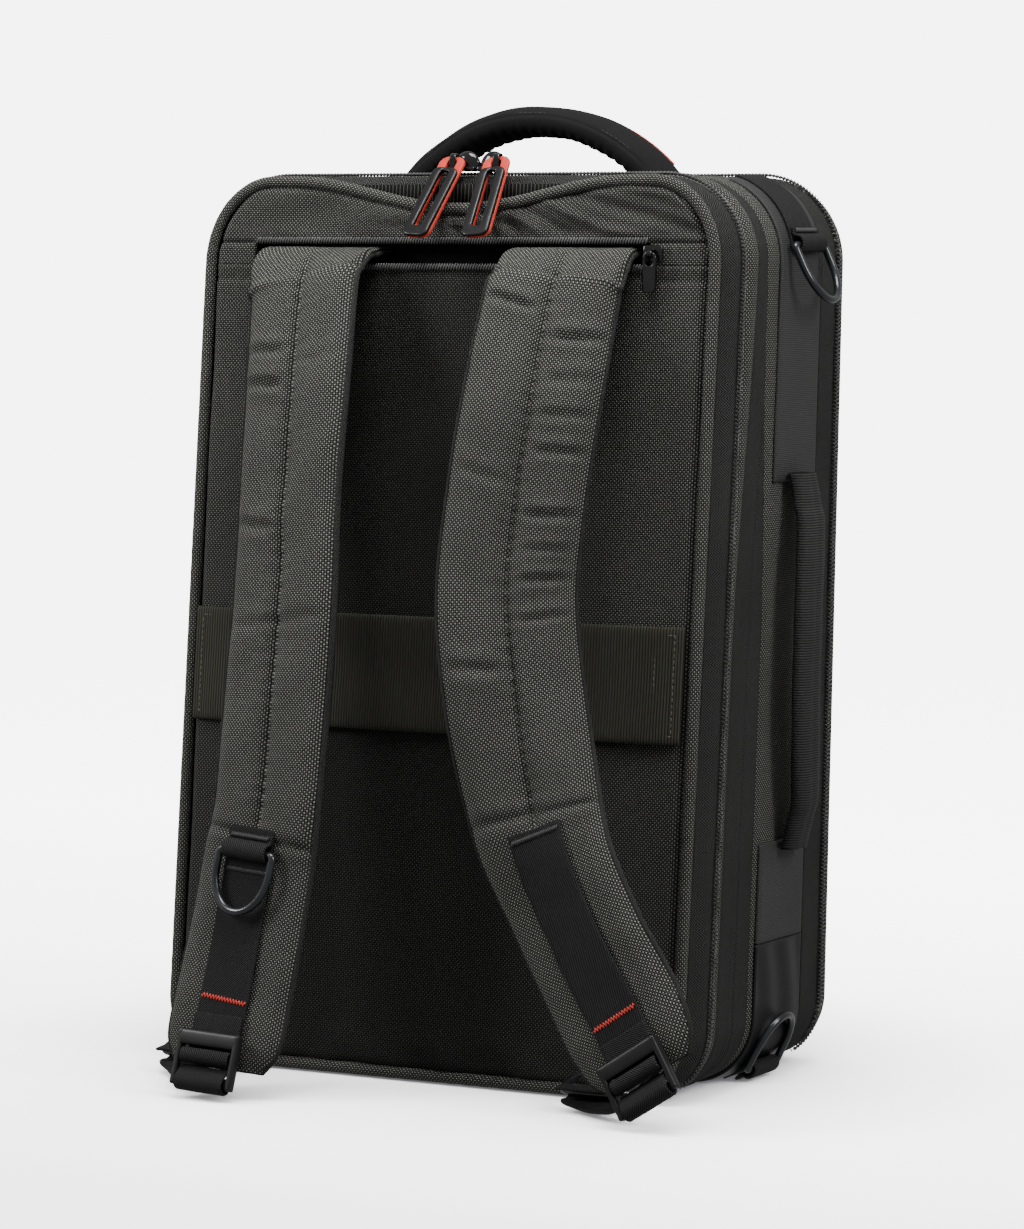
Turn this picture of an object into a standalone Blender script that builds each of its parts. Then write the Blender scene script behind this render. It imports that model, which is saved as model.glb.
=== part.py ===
"""Travel backpack, the construction: every piece at its real size, in metres, +Z up.

The wearer's side (back panel, shoulder straps) faces -Y and the front pocket +Y. The bag
stands on its base, with the origin at the base's centre. The body is a stack of ring
bands that follow one rounded outline, so each band's edge meets the next one's.
"""
import math

import bmesh
import bpy
from mathutils import Matrix, Vector

MM = 0.001

# Body
BODY_WIDTH = 296 * MM
BODY_HEIGHT = 438 * MM
BASE_DEPTH = 165 * MM          # back panel to front face, at the floor
TOP_RADIUS = 42 * MM
BOTTOM_RADIUS = 32 * MM
BACK_LEAN = 0.10               # how far the back panel leans forward per unit of height
DEPTH_TAPER = 0.156            # share of the depth lost at full height
CLOTH_WALL = 2.5 * MM
GAP = 0.3 * MM                 # clearance between touching pieces
BASE_SHEET = 1.5 * MM
EDGE_INSET_SHARE = 0.3         # top and bottom edges are set in less than the sides
RIM_SAG = 13.5 * MM            # the back rim's dip at the middle of the top edge
SAG_HALF_WIDTH = 95 * MM
SAG_HOLD = 8 * MM              # depth down to which the dip is full
SAG_END = 15.5 * MM            # depth where it has gone
SAG_LOW = 409.5 * MM           # heights between which the dip grows
SAG_HIGH = 433 * MM

# Depths of the bands' edges, measured from the back panel at the floor
PIPING_DEPTH = 2 * MM
LAPTOP_TAPE_START = 5.5 * MM
LAPTOP_ZIP_DEPTH = 19 * MM
EXPANSION_START = 27 * MM
EXPANSION_END = 62 * MM
FRONT_COVER_DEPTH = 25 * MM
MAIN_TAPE_WIDTH = 20 * MM
MAIN_ZIP_DEPTH = BASE_DEPTH - FRONT_COVER_DEPTH
GUSSET_END = MAIN_ZIP_DEPTH - MAIN_TAPE_WIDTH

# Piping, chains and back panel
PIPING_RADIUS = 3 * MM
PIPING_INSET = 7 * MM
PIPING_SIDES = 6
TAPE_INSET = 5 * MM            # where the laptop tape leaves the piping
CHAIN_WIDTH = 6.4 * MM
CHAIN_HEIGHT = 2.1 * MM
PANEL_THICKNESS = 8 * MM
PANEL_EDGE_GAP = 0.6 * MM
BACK_CROWN = 6 * MM
FRONT_CROWN = 5 * MM
FRONT_RIM_INSET = 22 * MM

# Strap pocket in the back panel
SLOT_LEFT_MARGIN = 34 * MM      # from the slot's ends to the bag's sides
SLOT_RIGHT_MARGIN = 41 * MM
SLOT_LEFT = SLOT_LEFT_MARGIN - BODY_WIDTH / 2
SLOT_RIGHT = BODY_WIDTH / 2 - SLOT_RIGHT_MARGIN
SLOT_BOTTOM = 395.2 * MM
SLOT_HEIGHT = 11 * MM
POCKET_DEPTH = 6 * MM          # room behind the panel for the straps' sewn ends
POCKET_WALL = 2 * MM
POCKET_MARGIN = 12 * MM
POCKET_DROP = 60 * MM
COIL_RADIUS = 1.5 * MM

# Front pocket
FRONT_POCKET_WIDTH = 228 * MM
FRONT_POCKET_LOW = 62 * MM
FRONT_POCKET_HIGH = 252 * MM
FRONT_POCKET_BULGE = 20 * MM

# Patches and luggage band
PATCH_SHEET = 1.2 * MM
PATCH_START = 66 * MM
PATCH_END = 116 * MM
UPPER_PATCH_LOW = 291 * MM
LOWER_PATCH_HIGH = 117 * MM
LOWER_PATCH_LOW = 69 * MM
LUGGAGE_BAND_TOP = 225.5 * MM
LUGGAGE_BAND_HEIGHT = 55.7 * MM
LUGGAGE_BAND_SHEET = 1.6 * MM

# Handles
TOP_HANDLE_SPAN = 132 * MM
TOP_HANDLE_RISE = 28 * MM
TOP_HANDLE_WIDTH = 30 * MM
TOP_HANDLE_THICKNESS = 15 * MM
TOP_HANDLE_DEPTH = 100 * MM
SIDE_HANDLE_WIDTH = 23 * MM
SIDE_HANDLE_THICKNESS = 9 * MM
SIDE_HANDLE_BOW = 8 * MM

# Shoulder straps
STRAP_WIDTH = 67 * MM
STRAP_THICKNESS = 12 * MM
STRAP_STANDOFF = 60 * MM
WEBBING_WIDTH = 28 * MM
WEBBING_SHEET = 1.4 * MM

# Ladder-lock buckles
BUCKLE_WIDTH = 35 * MM
BUCKLE_LENGTH = 27 * MM
BUCKLE_THICKNESS = 5 * MM
BUCKLE_TOP_BAR = 7.5 * MM
BUCKLE_WINDOW = 29.4 * MM
BUCKLE_MIDDLE_BAR = 2.6 * MM
BUCKLE_LOWER_BAR = 4.4 * MM
BUCKLE_LOWER_SHEET = 3.2 * MM
BUCKLE_MIDDLE_AT = 12.5 * MM
BUCKLE_BEVEL = 1.2 * MM
BUCKLE_PLACES = {"left": 12.78, "right": 14.72}    # rows of the straps' tables

# D-rings and hooks
RING_WIRE = 3.8 * MM
RING_WIDTH = 36 * MM           # outer width
RING_LENGTH = 31 * MM          # bar to outermost point
RING_LEG = 9 * MM
SIDE_RING_DEPTH = 92 * MM
UPPER_RING_Z = 404 * MM
LOWER_RING_Z = 10.5 * MM
UPPER_RING_TILT = 25           # degrees outward from hanging straight down
LOWER_RING_TILT = 27           # degrees outward from standing straight up
TAB_WIDTH = 26.5 * MM
TAB_RETURN = 9 * MM
HOOK_WIRE = 3.6 * MM
HOOK_LENGTH = 24 * MM
HOOK_WIDTH = 39 * MM
HOOK_STANDOFF = 27 * MM
HOOK_Z = 8.4 * MM              # height of the adjuster's bar
HOOK_RISE = 6.5 * MM           # from that bar to the base loop's bar
BASE_LOOP_MARGIN = 36 * MM      # from the base loop's middle to the bag's side
BASE_LOOP_X = BODY_WIDTH / 2 - BASE_LOOP_MARGIN
BASE_LOOP_RUN = 12 * MM

# Zip sliders and pullers
SLIDER_LENGTH = 13.2 * MM
SLIDER_WIDTH = 9 * MM
SLIDER_PLATE = 2.4 * MM
LUG_WIDTH = 3.4 * MM
LUG_SIZE = 5.6 * MM
PIVOT_RISE = 6.0 * MM          # pivot above the slider's underside
PULLER_LENGTH = 50 * MM
PULLER_WIDTH = 14 * MM
PULLER_SLOT = 5.2 * MM
PULLER_FOOT = 6 * MM
PULLER_CORE = 1.8 * MM
PULLER_TOP = 1.8 * MM
PULLER_BARE = 8 * MM           # red end above the black top
PULLER_DROOP = 50.5            # degrees below level
POCKET_PULL_LENGTH = 19 * MM
POCKET_PULL_WIDTH = 7 * MM
POCKET_PULL_SHEET = 1.8 * MM
POCKET_PULL_X = SLOT_RIGHT + 3 * MM
POCKET_PULL_Z = 401 * MM

# Padded straps, top to bottom. height: share of BODY_HEIGHT; across: share of half of
# BODY_WIDTH; out: share of STRAP_STANDOFF; turn: degrees about Z; wide, thick: shares of
# the strap's own sizes; seam: 1 where the two lobes have a seam between them. None stands
# for the slot's middle height, and for the seat on the strap pocket's inner wall.
STRAP_COLUMNS = ("height", "across", "out", "turn", "wide", "thick", "seam")
LEFT_STRAP = (
    (None, -0.507, None, 0, 0.99, 0.50, 0.0),
    (None, -0.506, -0.020, 0, 0.99, 0.55, 0.0),
    (0.9090, -0.504, 0.140, -3, 0.98, 0.62, 0.3),
    (0.8890, -0.492, 0.300, -7, 0.96, 0.80, 0.8),
    (0.8630, -0.476, 0.400, -9, 0.96, 0.92, 1.0),
    (0.7540, -0.427, 0.633, -11, 0.97, 1.00, 1.0),
    (0.6440, -0.402, 0.767, -12, 0.97, 1.00, 1.0),
    (0.5360, -0.376, 0.867, -11, 0.98, 1.00, 1.0),
    (0.4270, -0.372, 0.933, -9, 0.98, 1.00, 1.0),
    (0.3190, -0.370, 1.000, -9, 0.98, 1.00, 1.0),
    (0.2530, -0.384, 1.033, -6, 0.99, 0.92, 0.2),
    (0.1670, -0.405, 1.100, -5, 1.00, 0.86, 0.0),
    (0.1020, -0.420, 1.180, -3, 1.00, 0.82, 0.0),
    (0.0560, -0.427, 1.250, -3, 0.97, 0.76, 0.0),
    (0.0300, -0.431, 1.290, -3, 0.76, 0.60, 0.0),
)
RIGHT_STRAP = (
    (None, 0.451, None, 0, 0.99, 0.50, 0.0),
    (None, 0.451, -0.020, 2, 0.99, 0.55, 0.0),
    (0.9090, 0.453, 0.140, 7, 0.99, 0.62, 0.3),
    (0.8890, 0.456, 0.300, 13, 0.99, 0.80, 0.8),
    (0.8660, 0.457, 0.400, 17, 0.99, 0.92, 1.0),
    (0.7580, 0.449, 0.600, 20, 1.00, 1.00, 1.0),
    (0.6510, 0.428, 0.683, 21, 1.00, 1.00, 1.0),
    (0.5440, 0.423, 0.733, 24, 1.00, 1.00, 1.0),
    (0.4390, 0.479, 0.767, 24, 1.00, 1.00, 1.0),
    (0.3340, 0.564, 0.783, 9, 1.00, 1.00, 1.0),
    (0.2820, 0.623, 0.800, 1, 1.00, 0.92, 0.2),
    (0.2310, 0.703, 0.800, -5, 1.00, 0.88, 0.0),
    (0.1800, 0.796, 0.817, -6, 1.00, 0.86, 0.0),
    (0.1300, 0.897, 0.833, -4, 1.00, 0.84, 0.0),
    (0.0980, 0.963, 0.850, -4, 0.98, 0.80, 0.0),
    (0.0740, 1.010, 0.860, -4, 0.90, 0.72, 0.0),
    (0.0560, 1.041, 0.868, -4, 0.70, 0.58, 0.0),
)
WEBBING_TOP_ROW = {"left": 10.0, "right": 9.55}

HALF_WIDTH = BODY_WIDTH / 2
BASE_GAP = BASE_SHEET + GAP
OUTLINE_SPANS = (
    HALF_WIDTH - BOTTOM_RADIUS,
    BOTTOM_RADIUS * math.pi / 2,
    BODY_HEIGHT - BASE_GAP - BOTTOM_RADIUS - TOP_RADIUS,
    TOP_RADIUS * math.pi / 2,
    HALF_WIDTH - TOP_RADIUS,
)
OUTLINE_STEPS = (2, 4, 5, 5, 5)
HALF_PERIMETER = sum(OUTLINE_SPANS)


def reset_scene():
    """Removes every object and makes the part's own collections."""
    for obj in list(bpy.data.objects):
        bpy.data.objects.remove(obj, do_unlink=True)
    part = bpy.data.collections.new("travel_backpack")
    cutters = bpy.data.collections.new("cutters")
    bpy.context.scene.collection.children.link(part)
    bpy.context.scene.collection.children.link(cutters)
    cutters.hide_render = True
    return part, cutters


PART, CUTTERS = reset_scene()


def make_material(name, colour, roughness, metallic=0.0):
    """A Principled material in one plain colour."""
    material = bpy.data.materials.new(name)
    material.use_nodes = True
    shader = material.node_tree.nodes["Principled BSDF"]
    shader.inputs["Base Color"].default_value = (*colour, 1.0)
    shader.inputs["Roughness"].default_value = roughness
    shader.inputs["Metallic"].default_value = metallic
    return material


CHARCOAL_CLOTH = ((0.050, 0.050, 0.044), 0.75)
SMOOTH_CLOTH = ((0.075, 0.075, 0.072), 0.70)
BLACK_CLOTH = ((0.012, 0.012, 0.012), 0.80)
BAND_CLOTH = ((0.030, 0.031, 0.026), 0.75)
BLACK_PLASTIC = ((0.015, 0.015, 0.016), 0.35)
BLACK_METAL = ((0.030, 0.030, 0.033), 0.30, 1.0)
RED_RUBBER = ((0.620, 0.060, 0.040), 0.50)


def add_mesh(name, vertices, faces, finish):
    """A mesh object with outward faces and a material of its own."""
    mesh = bpy.data.meshes.new(name)
    mesh.from_pydata([tuple(vertex) for vertex in vertices], [], faces)
    shape = bmesh.new()
    shape.from_mesh(mesh)
    bmesh.ops.recalc_face_normals(shape, faces=shape.faces)
    shape.to_mesh(mesh)
    shape.free()
    mesh.materials.append(make_material(name + "_finish", *finish))
    obj = bpy.data.objects.new(name, mesh)
    PART.objects.link(obj)
    return obj


def loft(name, rings, finish, closed=False):
    """Joins rings of points into one solid: a closed loop of rings, or capped at both ends."""
    size = len(rings[0])
    vertices = [point for ring in rings for point in ring]
    faces = []
    pairs = len(rings) if closed else len(rings) - 1
    for row in range(pairs):
        base = row * size
        following = ((row + 1) % len(rings)) * size
        for k in range(size):
            after = (k + 1) % size
            faces.append((base + k, base + after, following + after, following + k))
    if not closed:
        faces.append(tuple(range(size)))
        faces.append(tuple((len(rings) - 1) * size + k for k in range(size)))
    return add_mesh(name, vertices, faces, finish)


def set_origin(obj, point):
    """Moves an object's origin to the point and leaves its mesh where it is."""
    obj.data.transform(Matrix.Translation(-(obj.matrix_world.inverted() @ Vector(point))))
    obj.matrix_world = obj.matrix_world @ Matrix.Translation(
        obj.matrix_world.inverted() @ Vector(point))


# The body's own shape
def body_y(depth, z):
    """Y of a point at the given depth behind the back panel's plane, at height z."""
    share = z / BODY_HEIGHT
    return BACK_LEAN * z + depth * (1 - DEPTH_TAPER * share) - BASE_DEPTH / 2


def smooth_step(value):
    """0 to 1 with level ends."""
    value = min(max(value, 0.0), 1.0)
    return value * value * (3 - 2 * value)


def rim_sag(x, z, depth):
    """How far the back rim's top edge has dropped, most at the middle and at the back."""
    across = math.cos(math.pi / 2 * min(abs(x) / SAG_HALF_WIDTH, 1.0)) ** 2
    fade = 1 - min(max((depth - SAG_HOLD) / (SAG_END - SAG_HOLD), 0.0), 1.0)
    return RIM_SAG * across * fade * smooth_step((z - SAG_LOW) / (SAG_HIGH - SAG_LOW))


def to_world(x, depth, z):
    """World point of a place on the bag, given across, into its depth and up."""
    z -= rim_sag(x, z, depth)
    return Vector((x, body_y(depth, z), z))


def outline_point(s):
    """Point and outward normal of the outline at arc length s from the base's middle."""
    if s > HALF_PERIMETER:
        x, z, nx, nz = outline_point(2 * HALF_PERIMETER - s)
        return -x, z, -nx, nz
    bottom, low_arc, side, high_arc, _ = OUTLINE_SPANS
    if s <= bottom:
        return s, BASE_GAP, 0.0, -1.0
    s -= bottom
    if s <= low_arc:
        angle = s / BOTTOM_RADIUS
        x = HALF_WIDTH - BOTTOM_RADIUS + BOTTOM_RADIUS * math.sin(angle)
        z = BASE_GAP + BOTTOM_RADIUS - BOTTOM_RADIUS * math.cos(angle)
        return x, z, math.sin(angle), -math.cos(angle)
    s -= low_arc
    if s <= side:
        return HALF_WIDTH, BASE_GAP + BOTTOM_RADIUS + s, 1.0, 0.0
    s -= side
    if s <= high_arc:
        angle = s / TOP_RADIUS
        x = HALF_WIDTH - TOP_RADIUS + TOP_RADIUS * math.cos(angle)
        z = BODY_HEIGHT - TOP_RADIUS + TOP_RADIUS * math.sin(angle)
        return x, z, math.cos(angle), math.sin(angle)
    s -= high_arc
    return HALF_WIDTH - TOP_RADIUS - s, BODY_HEIGHT, 0.0, 1.0


def outline_xz(s, inset, lift=0.0):
    """The outline's point at s, moved inward by the inset and outward by the lift."""
    x, z, nx, nz = outline_point(s)
    return x - nx * (inset - lift), z - nz * (inset * EDGE_INSET_SHARE - lift)


def surface_point(s, depth, inset, lift=0.0):
    """World point on the body's side at s, the depth, the inset and the lift."""
    x, z = outline_xz(s, inset, lift)
    return to_world(x, depth, z)


def outline_stops():
    """Arc lengths of the points that every ring band has."""
    stops = []
    start = 0.0
    for span, steps in zip(OUTLINE_SPANS, OUTLINE_STEPS):
        stops += [start + span * k / steps for k in range(steps)]
        start += span
    mirrored = [2 * HALF_PERIMETER - stop for stop in reversed(stops[1:])]
    return stops + [HALF_PERIMETER] + mirrored


def side_stop(z):
    """Arc length of the right side's point at height z, corners included."""
    bottom, low_arc, side, _, _ = OUTLINE_SPANS
    if z < BASE_GAP + BOTTOM_RADIUS:
        return bottom + BOTTOM_RADIUS * math.acos((BASE_GAP + BOTTOM_RADIUS - z) / BOTTOM_RADIUS)
    top_straight = BODY_HEIGHT - TOP_RADIUS
    if z > top_straight:
        angle = math.asin((z - top_straight) / TOP_RADIUS)
        return bottom + low_arc + side + TOP_RADIUS * angle
    return bottom + low_arc + z - BASE_GAP - BOTTOM_RADIUS


STOPS = outline_stops()


def stops_between(first, last):
    """The bands' stops from first to last, with both ends."""
    return [first] + [s for s in STOPS if first + MM < s < last - MM] + [last]


def ring_band(name, rows, finish, wall=CLOTH_WALL):
    """A band right round the body. rows: (depth, inset) from back to front."""
    profile = [(depth, inset, 0) for depth, inset in rows]
    profile += [(depth, inset, -wall) for depth, inset in reversed(rows)]
    rings = [[surface_point(s, *row) for row in profile] for s in STOPS]
    return loft(name, rings, finish, closed=True)


def strip_on_body(name, stops, rows, finish):
    """A strip along part of the outline. rows: (depth, lift) of its closed section."""
    rings = [[surface_point(s, depth, 0, lift) for depth, lift in rows] for s in stops]
    return loft(name, rings, finish)


def spread(first, last, steps):
    """Evenly spaced values from first to last, both included."""
    return [first + (last - first) * k / steps for k in range(steps + 1)]


def crown(x, z, height):
    """Pillow height of the back or front panel at a point of it."""
    middle = (BODY_HEIGHT + BASE_GAP) / 2
    across = 1 - (x / HALF_WIDTH) ** 2
    upward = 1 - ((z - middle) / (BODY_HEIGHT - middle)) ** 2
    return height * max(across, 0) * max(upward, 0)


def panel_ring(inset, lift, share, depth_of):
    """A ring of the panel's outline drawn in towards its middle by the share."""
    middle = (BODY_HEIGHT + BASE_GAP) / 2
    ring = []
    for s in STOPS:
        x, z = outline_xz(s, inset, lift)
        x *= share
        z = middle + (z - middle) * share
        ring.append(to_world(x, depth_of(x, z), z))
    return ring


def apply_modifiers(obj):
    """Replaces an object's mesh with its evaluated one."""
    graph = bpy.context.evaluated_depsgraph_get()
    mesh = bpy.data.meshes.new_from_object(obj.evaluated_get(graph))
    obj.modifiers.clear()
    obj.data = mesh


def box(name, low, high):
    """A box between two corners, as a primitive in the cutters' collection."""
    bpy.ops.mesh.primitive_cube_add(size=1)
    obj = bpy.context.object
    obj.name = name
    low = Vector(low)
    high = Vector(high)
    size = high - low
    obj.data.transform(Matrix.Diagonal((size.x, size.y, size.z, 1)))
    obj.data.transform(Matrix.Translation((low + high) / 2))
    for holder in list(obj.users_collection):
        holder.objects.unlink(obj)
    CUTTERS.objects.link(obj)
    obj.display_type = "WIRE"
    obj.hide_render = True
    return obj


def cut(obj, cutter, operation="DIFFERENCE"):
    """Applies an exact Boolean and removes the cutter."""
    modifier = obj.modifiers.new("cut", "BOOLEAN")
    modifier.operation = operation
    modifier.solver = "EXACT"
    modifier.object = cutter
    apply_modifiers(obj)
    bpy.data.objects.remove(cutter, do_unlink=True)


def bevel(obj, width, angle=35):
    """Rounds an object's sharp edges with one segment."""
    modifier = obj.modifiers.new("bevel", "BEVEL")
    modifier.width = width
    modifier.segments = 1
    modifier.limit_method = "ANGLE"
    modifier.angle_limit = math.radians(angle)
    apply_modifiers(obj)


def claim(obj, name, finish):
    """Gives a primitive its name, collection and material."""
    obj.name = name
    obj.data.name = name
    for holder in list(obj.users_collection):
        holder.objects.unlink(obj)
    PART.objects.link(obj)
    obj.hide_render = False
    obj.display_type = "TEXTURED"
    obj.data.materials.clear()
    obj.data.materials.append(make_material(name + "_finish", *finish))
    return obj


def map_vertices(obj, function):
    """Moves each vertex of an object's mesh by the function of its place."""
    for vertex in obj.data.vertices:
        vertex.co = function(vertex.co)


def tube(name, points, radius, finish, cyclic=False, resolution=2):
    """A round bar along the points, as a curve with a bevel, then a mesh."""
    curve = bpy.data.curves.new(name, "CURVE")
    curve.dimensions = "3D"
    curve.bevel_depth = radius
    curve.bevel_resolution = resolution
    curve.use_fill_caps = True
    spline = curve.splines.new("POLY")
    spline.points.add(len(points) - 1)
    for slot, point in zip(spline.points, points):
        slot.co = (*point, 1)
    spline.use_cyclic_u = cyclic
    holder = bpy.data.objects.new(name + "_curve", curve)
    PART.objects.link(holder)
    graph = bpy.context.evaluated_depsgraph_get()
    mesh = bpy.data.meshes.new_from_object(holder.evaluated_get(graph))
    mesh.name = name
    bpy.data.objects.remove(holder, do_unlink=True)
    shape = bmesh.new()
    shape.from_mesh(mesh)
    bmesh.ops.remove_doubles(shape, verts=shape.verts, dist=1e-6)
    bmesh.ops.recalc_face_normals(shape, faces=shape.faces)
    shape.to_mesh(mesh)
    shape.free()
    mesh.materials.clear()
    mesh.materials.append(make_material(name + "_finish", *finish))
    obj = bpy.data.objects.new(name, mesh)
    PART.objects.link(obj)
    return obj


def ribbon(name, path, across, width, sheet, finish):
    """A flat strip along a path, square to the path and as wide as the width.

    across: the width's direction, one vector or one for each point of the path.
    """
    rings = []
    last = len(path) - 1
    for k, point in enumerate(path):
        wide = across[k] if isinstance(across, (list, tuple)) else across
        wide = wide.normalized()
        before = (path[k] - path[max(k - 1, 0)])
        after = (path[min(k + 1, last)] - path[k])
        if before.length > 0:
            before = before.normalized()
        if after.length > 0:
            after = after.normalized()
        along = (before + after).normalized()
        normal = wide.cross(along).normalized()
        turn = 1.0
        if before.length > 0 and after.length > 0:
            turn = max(math.sqrt((1 + before.dot(after)) / 2), 0.5)
        half = sheet / 2 / turn
        side = wide * width / 2
        rings.append([point - side - normal * half, point + side - normal * half,
                      point + side + normal * half, point - side + normal * half])
    return loft(name, rings, finish)


# Body bands
ring_band("laptop_tape_band", (
    (LAPTOP_TAPE_START, TAPE_INSET),
    ((LAPTOP_TAPE_START + LAPTOP_ZIP_DEPTH) / 2, TAPE_INSET * 0.2),
    (LAPTOP_ZIP_DEPTH - GAP / 2, 0)), BLACK_CLOTH)
ring_band("grey_strip_band", (
    (LAPTOP_ZIP_DEPTH + GAP / 2, 0),
    (EXPANSION_START - GAP / 2, 0)), CHARCOAL_CLOTH)
EXPANSION_FOLD = 1.2 * MM
ring_band("expansion_tape_band", (
    (EXPANSION_START + GAP / 2, 0),
    ((EXPANSION_START + EXPANSION_END) / 2, EXPANSION_FOLD),
    (EXPANSION_END - GAP / 2, 0)), BLACK_CLOTH)
ring_band("side_gusset", (
    (EXPANSION_END + GAP / 2, 0),
    (GUSSET_END - GAP / 2, 0)), CHARCOAL_CLOTH)
ring_band("main_tape_band", (
    (GUSSET_END + GAP / 2, 0),
    (MAIN_ZIP_DEPTH - GAP / 2, 0)), BLACK_CLOTH)

piping_section = []
for k in range(PIPING_SIDES):
    angle = 2 * math.pi * k / PIPING_SIDES
    piping_section.append((PIPING_DEPTH + PIPING_RADIUS * math.cos(angle), PIPING_INSET,
                           PIPING_RADIUS * math.sin(angle)))
piping_rings = [[surface_point(s, *place) for place in piping_section] for s in STOPS]
loft("back_piping", piping_rings, CHARCOAL_CLOTH, closed=True)

# Zip chains, on the joint between two bands, open at the bottom corners
CHAIN_SECTION = ((-0.5, 0.0), (-0.3, 0.8), (0.0, 1.0), (0.3, 0.8), (0.5, 0.0))
chain_start = OUTLINE_SPANS[0] + OUTLINE_SPANS[1] * 0.35
chain_stops = stops_between(chain_start, 2 * HALF_PERIMETER - chain_start)
for chain_name, chain_depth in (("laptop_zip_chain", LAPTOP_ZIP_DEPTH),
                                ("main_zip_chain", MAIN_ZIP_DEPTH)):
    chain_rows = [(chain_depth + CHAIN_WIDTH * across, GAP + CHAIN_HEIGHT * rise)
                  for across, rise in CHAIN_SECTION]
    strip_on_body(chain_name, chain_stops, chain_rows, BLACK_PLASTIC)

# Back panel, padded, with the strap pocket's slot
panel_lift = -PIPING_RADIUS - PANEL_EDGE_GAP
panel_rings = []
for share in (0.3, 0.65, 0.88, 1.0):
    panel_rings.append(panel_ring(PIPING_INSET, panel_lift, share,
                                  lambda x, z: -crown(x, z, BACK_CROWN)))
for share in (1.0, 0.3):
    panel_rings.append(panel_ring(PIPING_INSET, panel_lift, share,
                                  lambda x, z: PANEL_THICKNESS))
back_panel = loft("back_panel", panel_rings, CHARCOAL_CLOTH)
slot_y = body_y(PANEL_THICKNESS / 2, SLOT_BOTTOM)
slot_reach = 3 * PANEL_THICKNESS
cut(back_panel, box("slot_cutter", (SLOT_LEFT, slot_y - slot_reach, SLOT_BOTTOM),
                    (SLOT_RIGHT, slot_y + slot_reach, SLOT_BOTTOM + SLOT_HEIGHT)))

# Strap pocket, a tray behind the slot
pocket_low = SLOT_BOTTOM - POCKET_DROP
pocket_high = SLOT_BOTTOM + SLOT_HEIGHT + POCKET_WALL + GAP
tray_front = PANEL_THICKNESS + GAP
tray_back = tray_front + POCKET_DEPTH + POCKET_WALL
pocket = box("strap_pocket", (SLOT_LEFT - POCKET_MARGIN, tray_front, pocket_low),
             (SLOT_RIGHT + POCKET_MARGIN, tray_back, pocket_high))
cut(pocket, box("tray_cutter",
                (SLOT_LEFT - POCKET_MARGIN + POCKET_WALL, tray_front - PANEL_THICKNESS,
                 pocket_low + POCKET_WALL),
                (SLOT_RIGHT + POCKET_MARGIN - POCKET_WALL, tray_back - POCKET_WALL,
                 pocket_high - POCKET_WALL)))
claim(pocket, "strap_pocket", BLACK_CLOTH)
map_vertices(pocket, lambda place: Vector((place.x, body_y(place.y, place.z), place.z)))


# Coils of the strap pocket's zip, above and below the slot
def panel_front(x, z, lift):
    """World point in front of the back panel by the lift."""
    return to_world(x, -crown(x, z, BACK_CROWN) - lift, z)


coil_lift = COIL_RADIUS + GAP + 0.2 * MM
for coil_name, coil_z in (("pocket_coil_upper", SLOT_BOTTOM + SLOT_HEIGHT + COIL_RADIUS),
                          ("pocket_coil_lower", SLOT_BOTTOM - COIL_RADIUS)):
    coil_points = [panel_front(x, coil_z, coil_lift)
                   for x in spread(SLOT_LEFT, SLOT_RIGHT, 8)]
    tube(coil_name, coil_points, COIL_RADIUS, BLACK_PLASTIC, resolution=1)

# Luggage band
band_z = LUGGAGE_BAND_TOP - LUGGAGE_BAND_HEIGHT / 2
band_reach = HALF_WIDTH - PIPING_INSET - PIPING_RADIUS - 1.5 * MM
band_lift = GAP + LUGGAGE_BAND_SHEET / 2 + 0.2 * MM
band_path = [panel_front(x, band_z, band_lift) for x in spread(-band_reach, band_reach, 10)]
ribbon("luggage_band", band_path, Vector((0, BACK_LEAN, 1)), LUGGAGE_BAND_HEIGHT,
       LUGGAGE_BAND_SHEET, BAND_CLOTH)

# Front panel, a dished cover, and its pocket
front_outer = [[surface_point(s, depth, 0, lift) for s in STOPS] for depth, lift in (
    (MAIN_ZIP_DEPTH + GAP / 2, 0), (BASE_DEPTH * 0.93, -2 * MM), (BASE_DEPTH * 0.975, -9 * MM))]
front_inner = [[surface_point(s, depth, 0, lift) for s in STOPS] for depth, lift in (
    (BASE_DEPTH * 0.93, -2 * MM - CLOTH_WALL * 1.4),
    (MAIN_ZIP_DEPTH + GAP / 2, -CLOTH_WALL))]


def front_depth(x, z):
    """Depth of the front panel's outer face."""
    return BASE_DEPTH + crown(x, z, FRONT_CROWN)


front_rings = [panel_ring(0, -FRONT_RIM_INSET, 0.4, front_depth),
               panel_ring(0, -FRONT_RIM_INSET, 1.0, front_depth)]
front_rings += list(reversed(front_outer)) + list(reversed(front_inner))
front_rings += [panel_ring(0, -FRONT_RIM_INSET - CLOTH_WALL, share,
                           lambda x, z: front_depth(x, z) - CLOTH_WALL) for share in (1.0, 0.4)]
loft("front_panel", front_rings, CHARCOAL_CLOTH)

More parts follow.
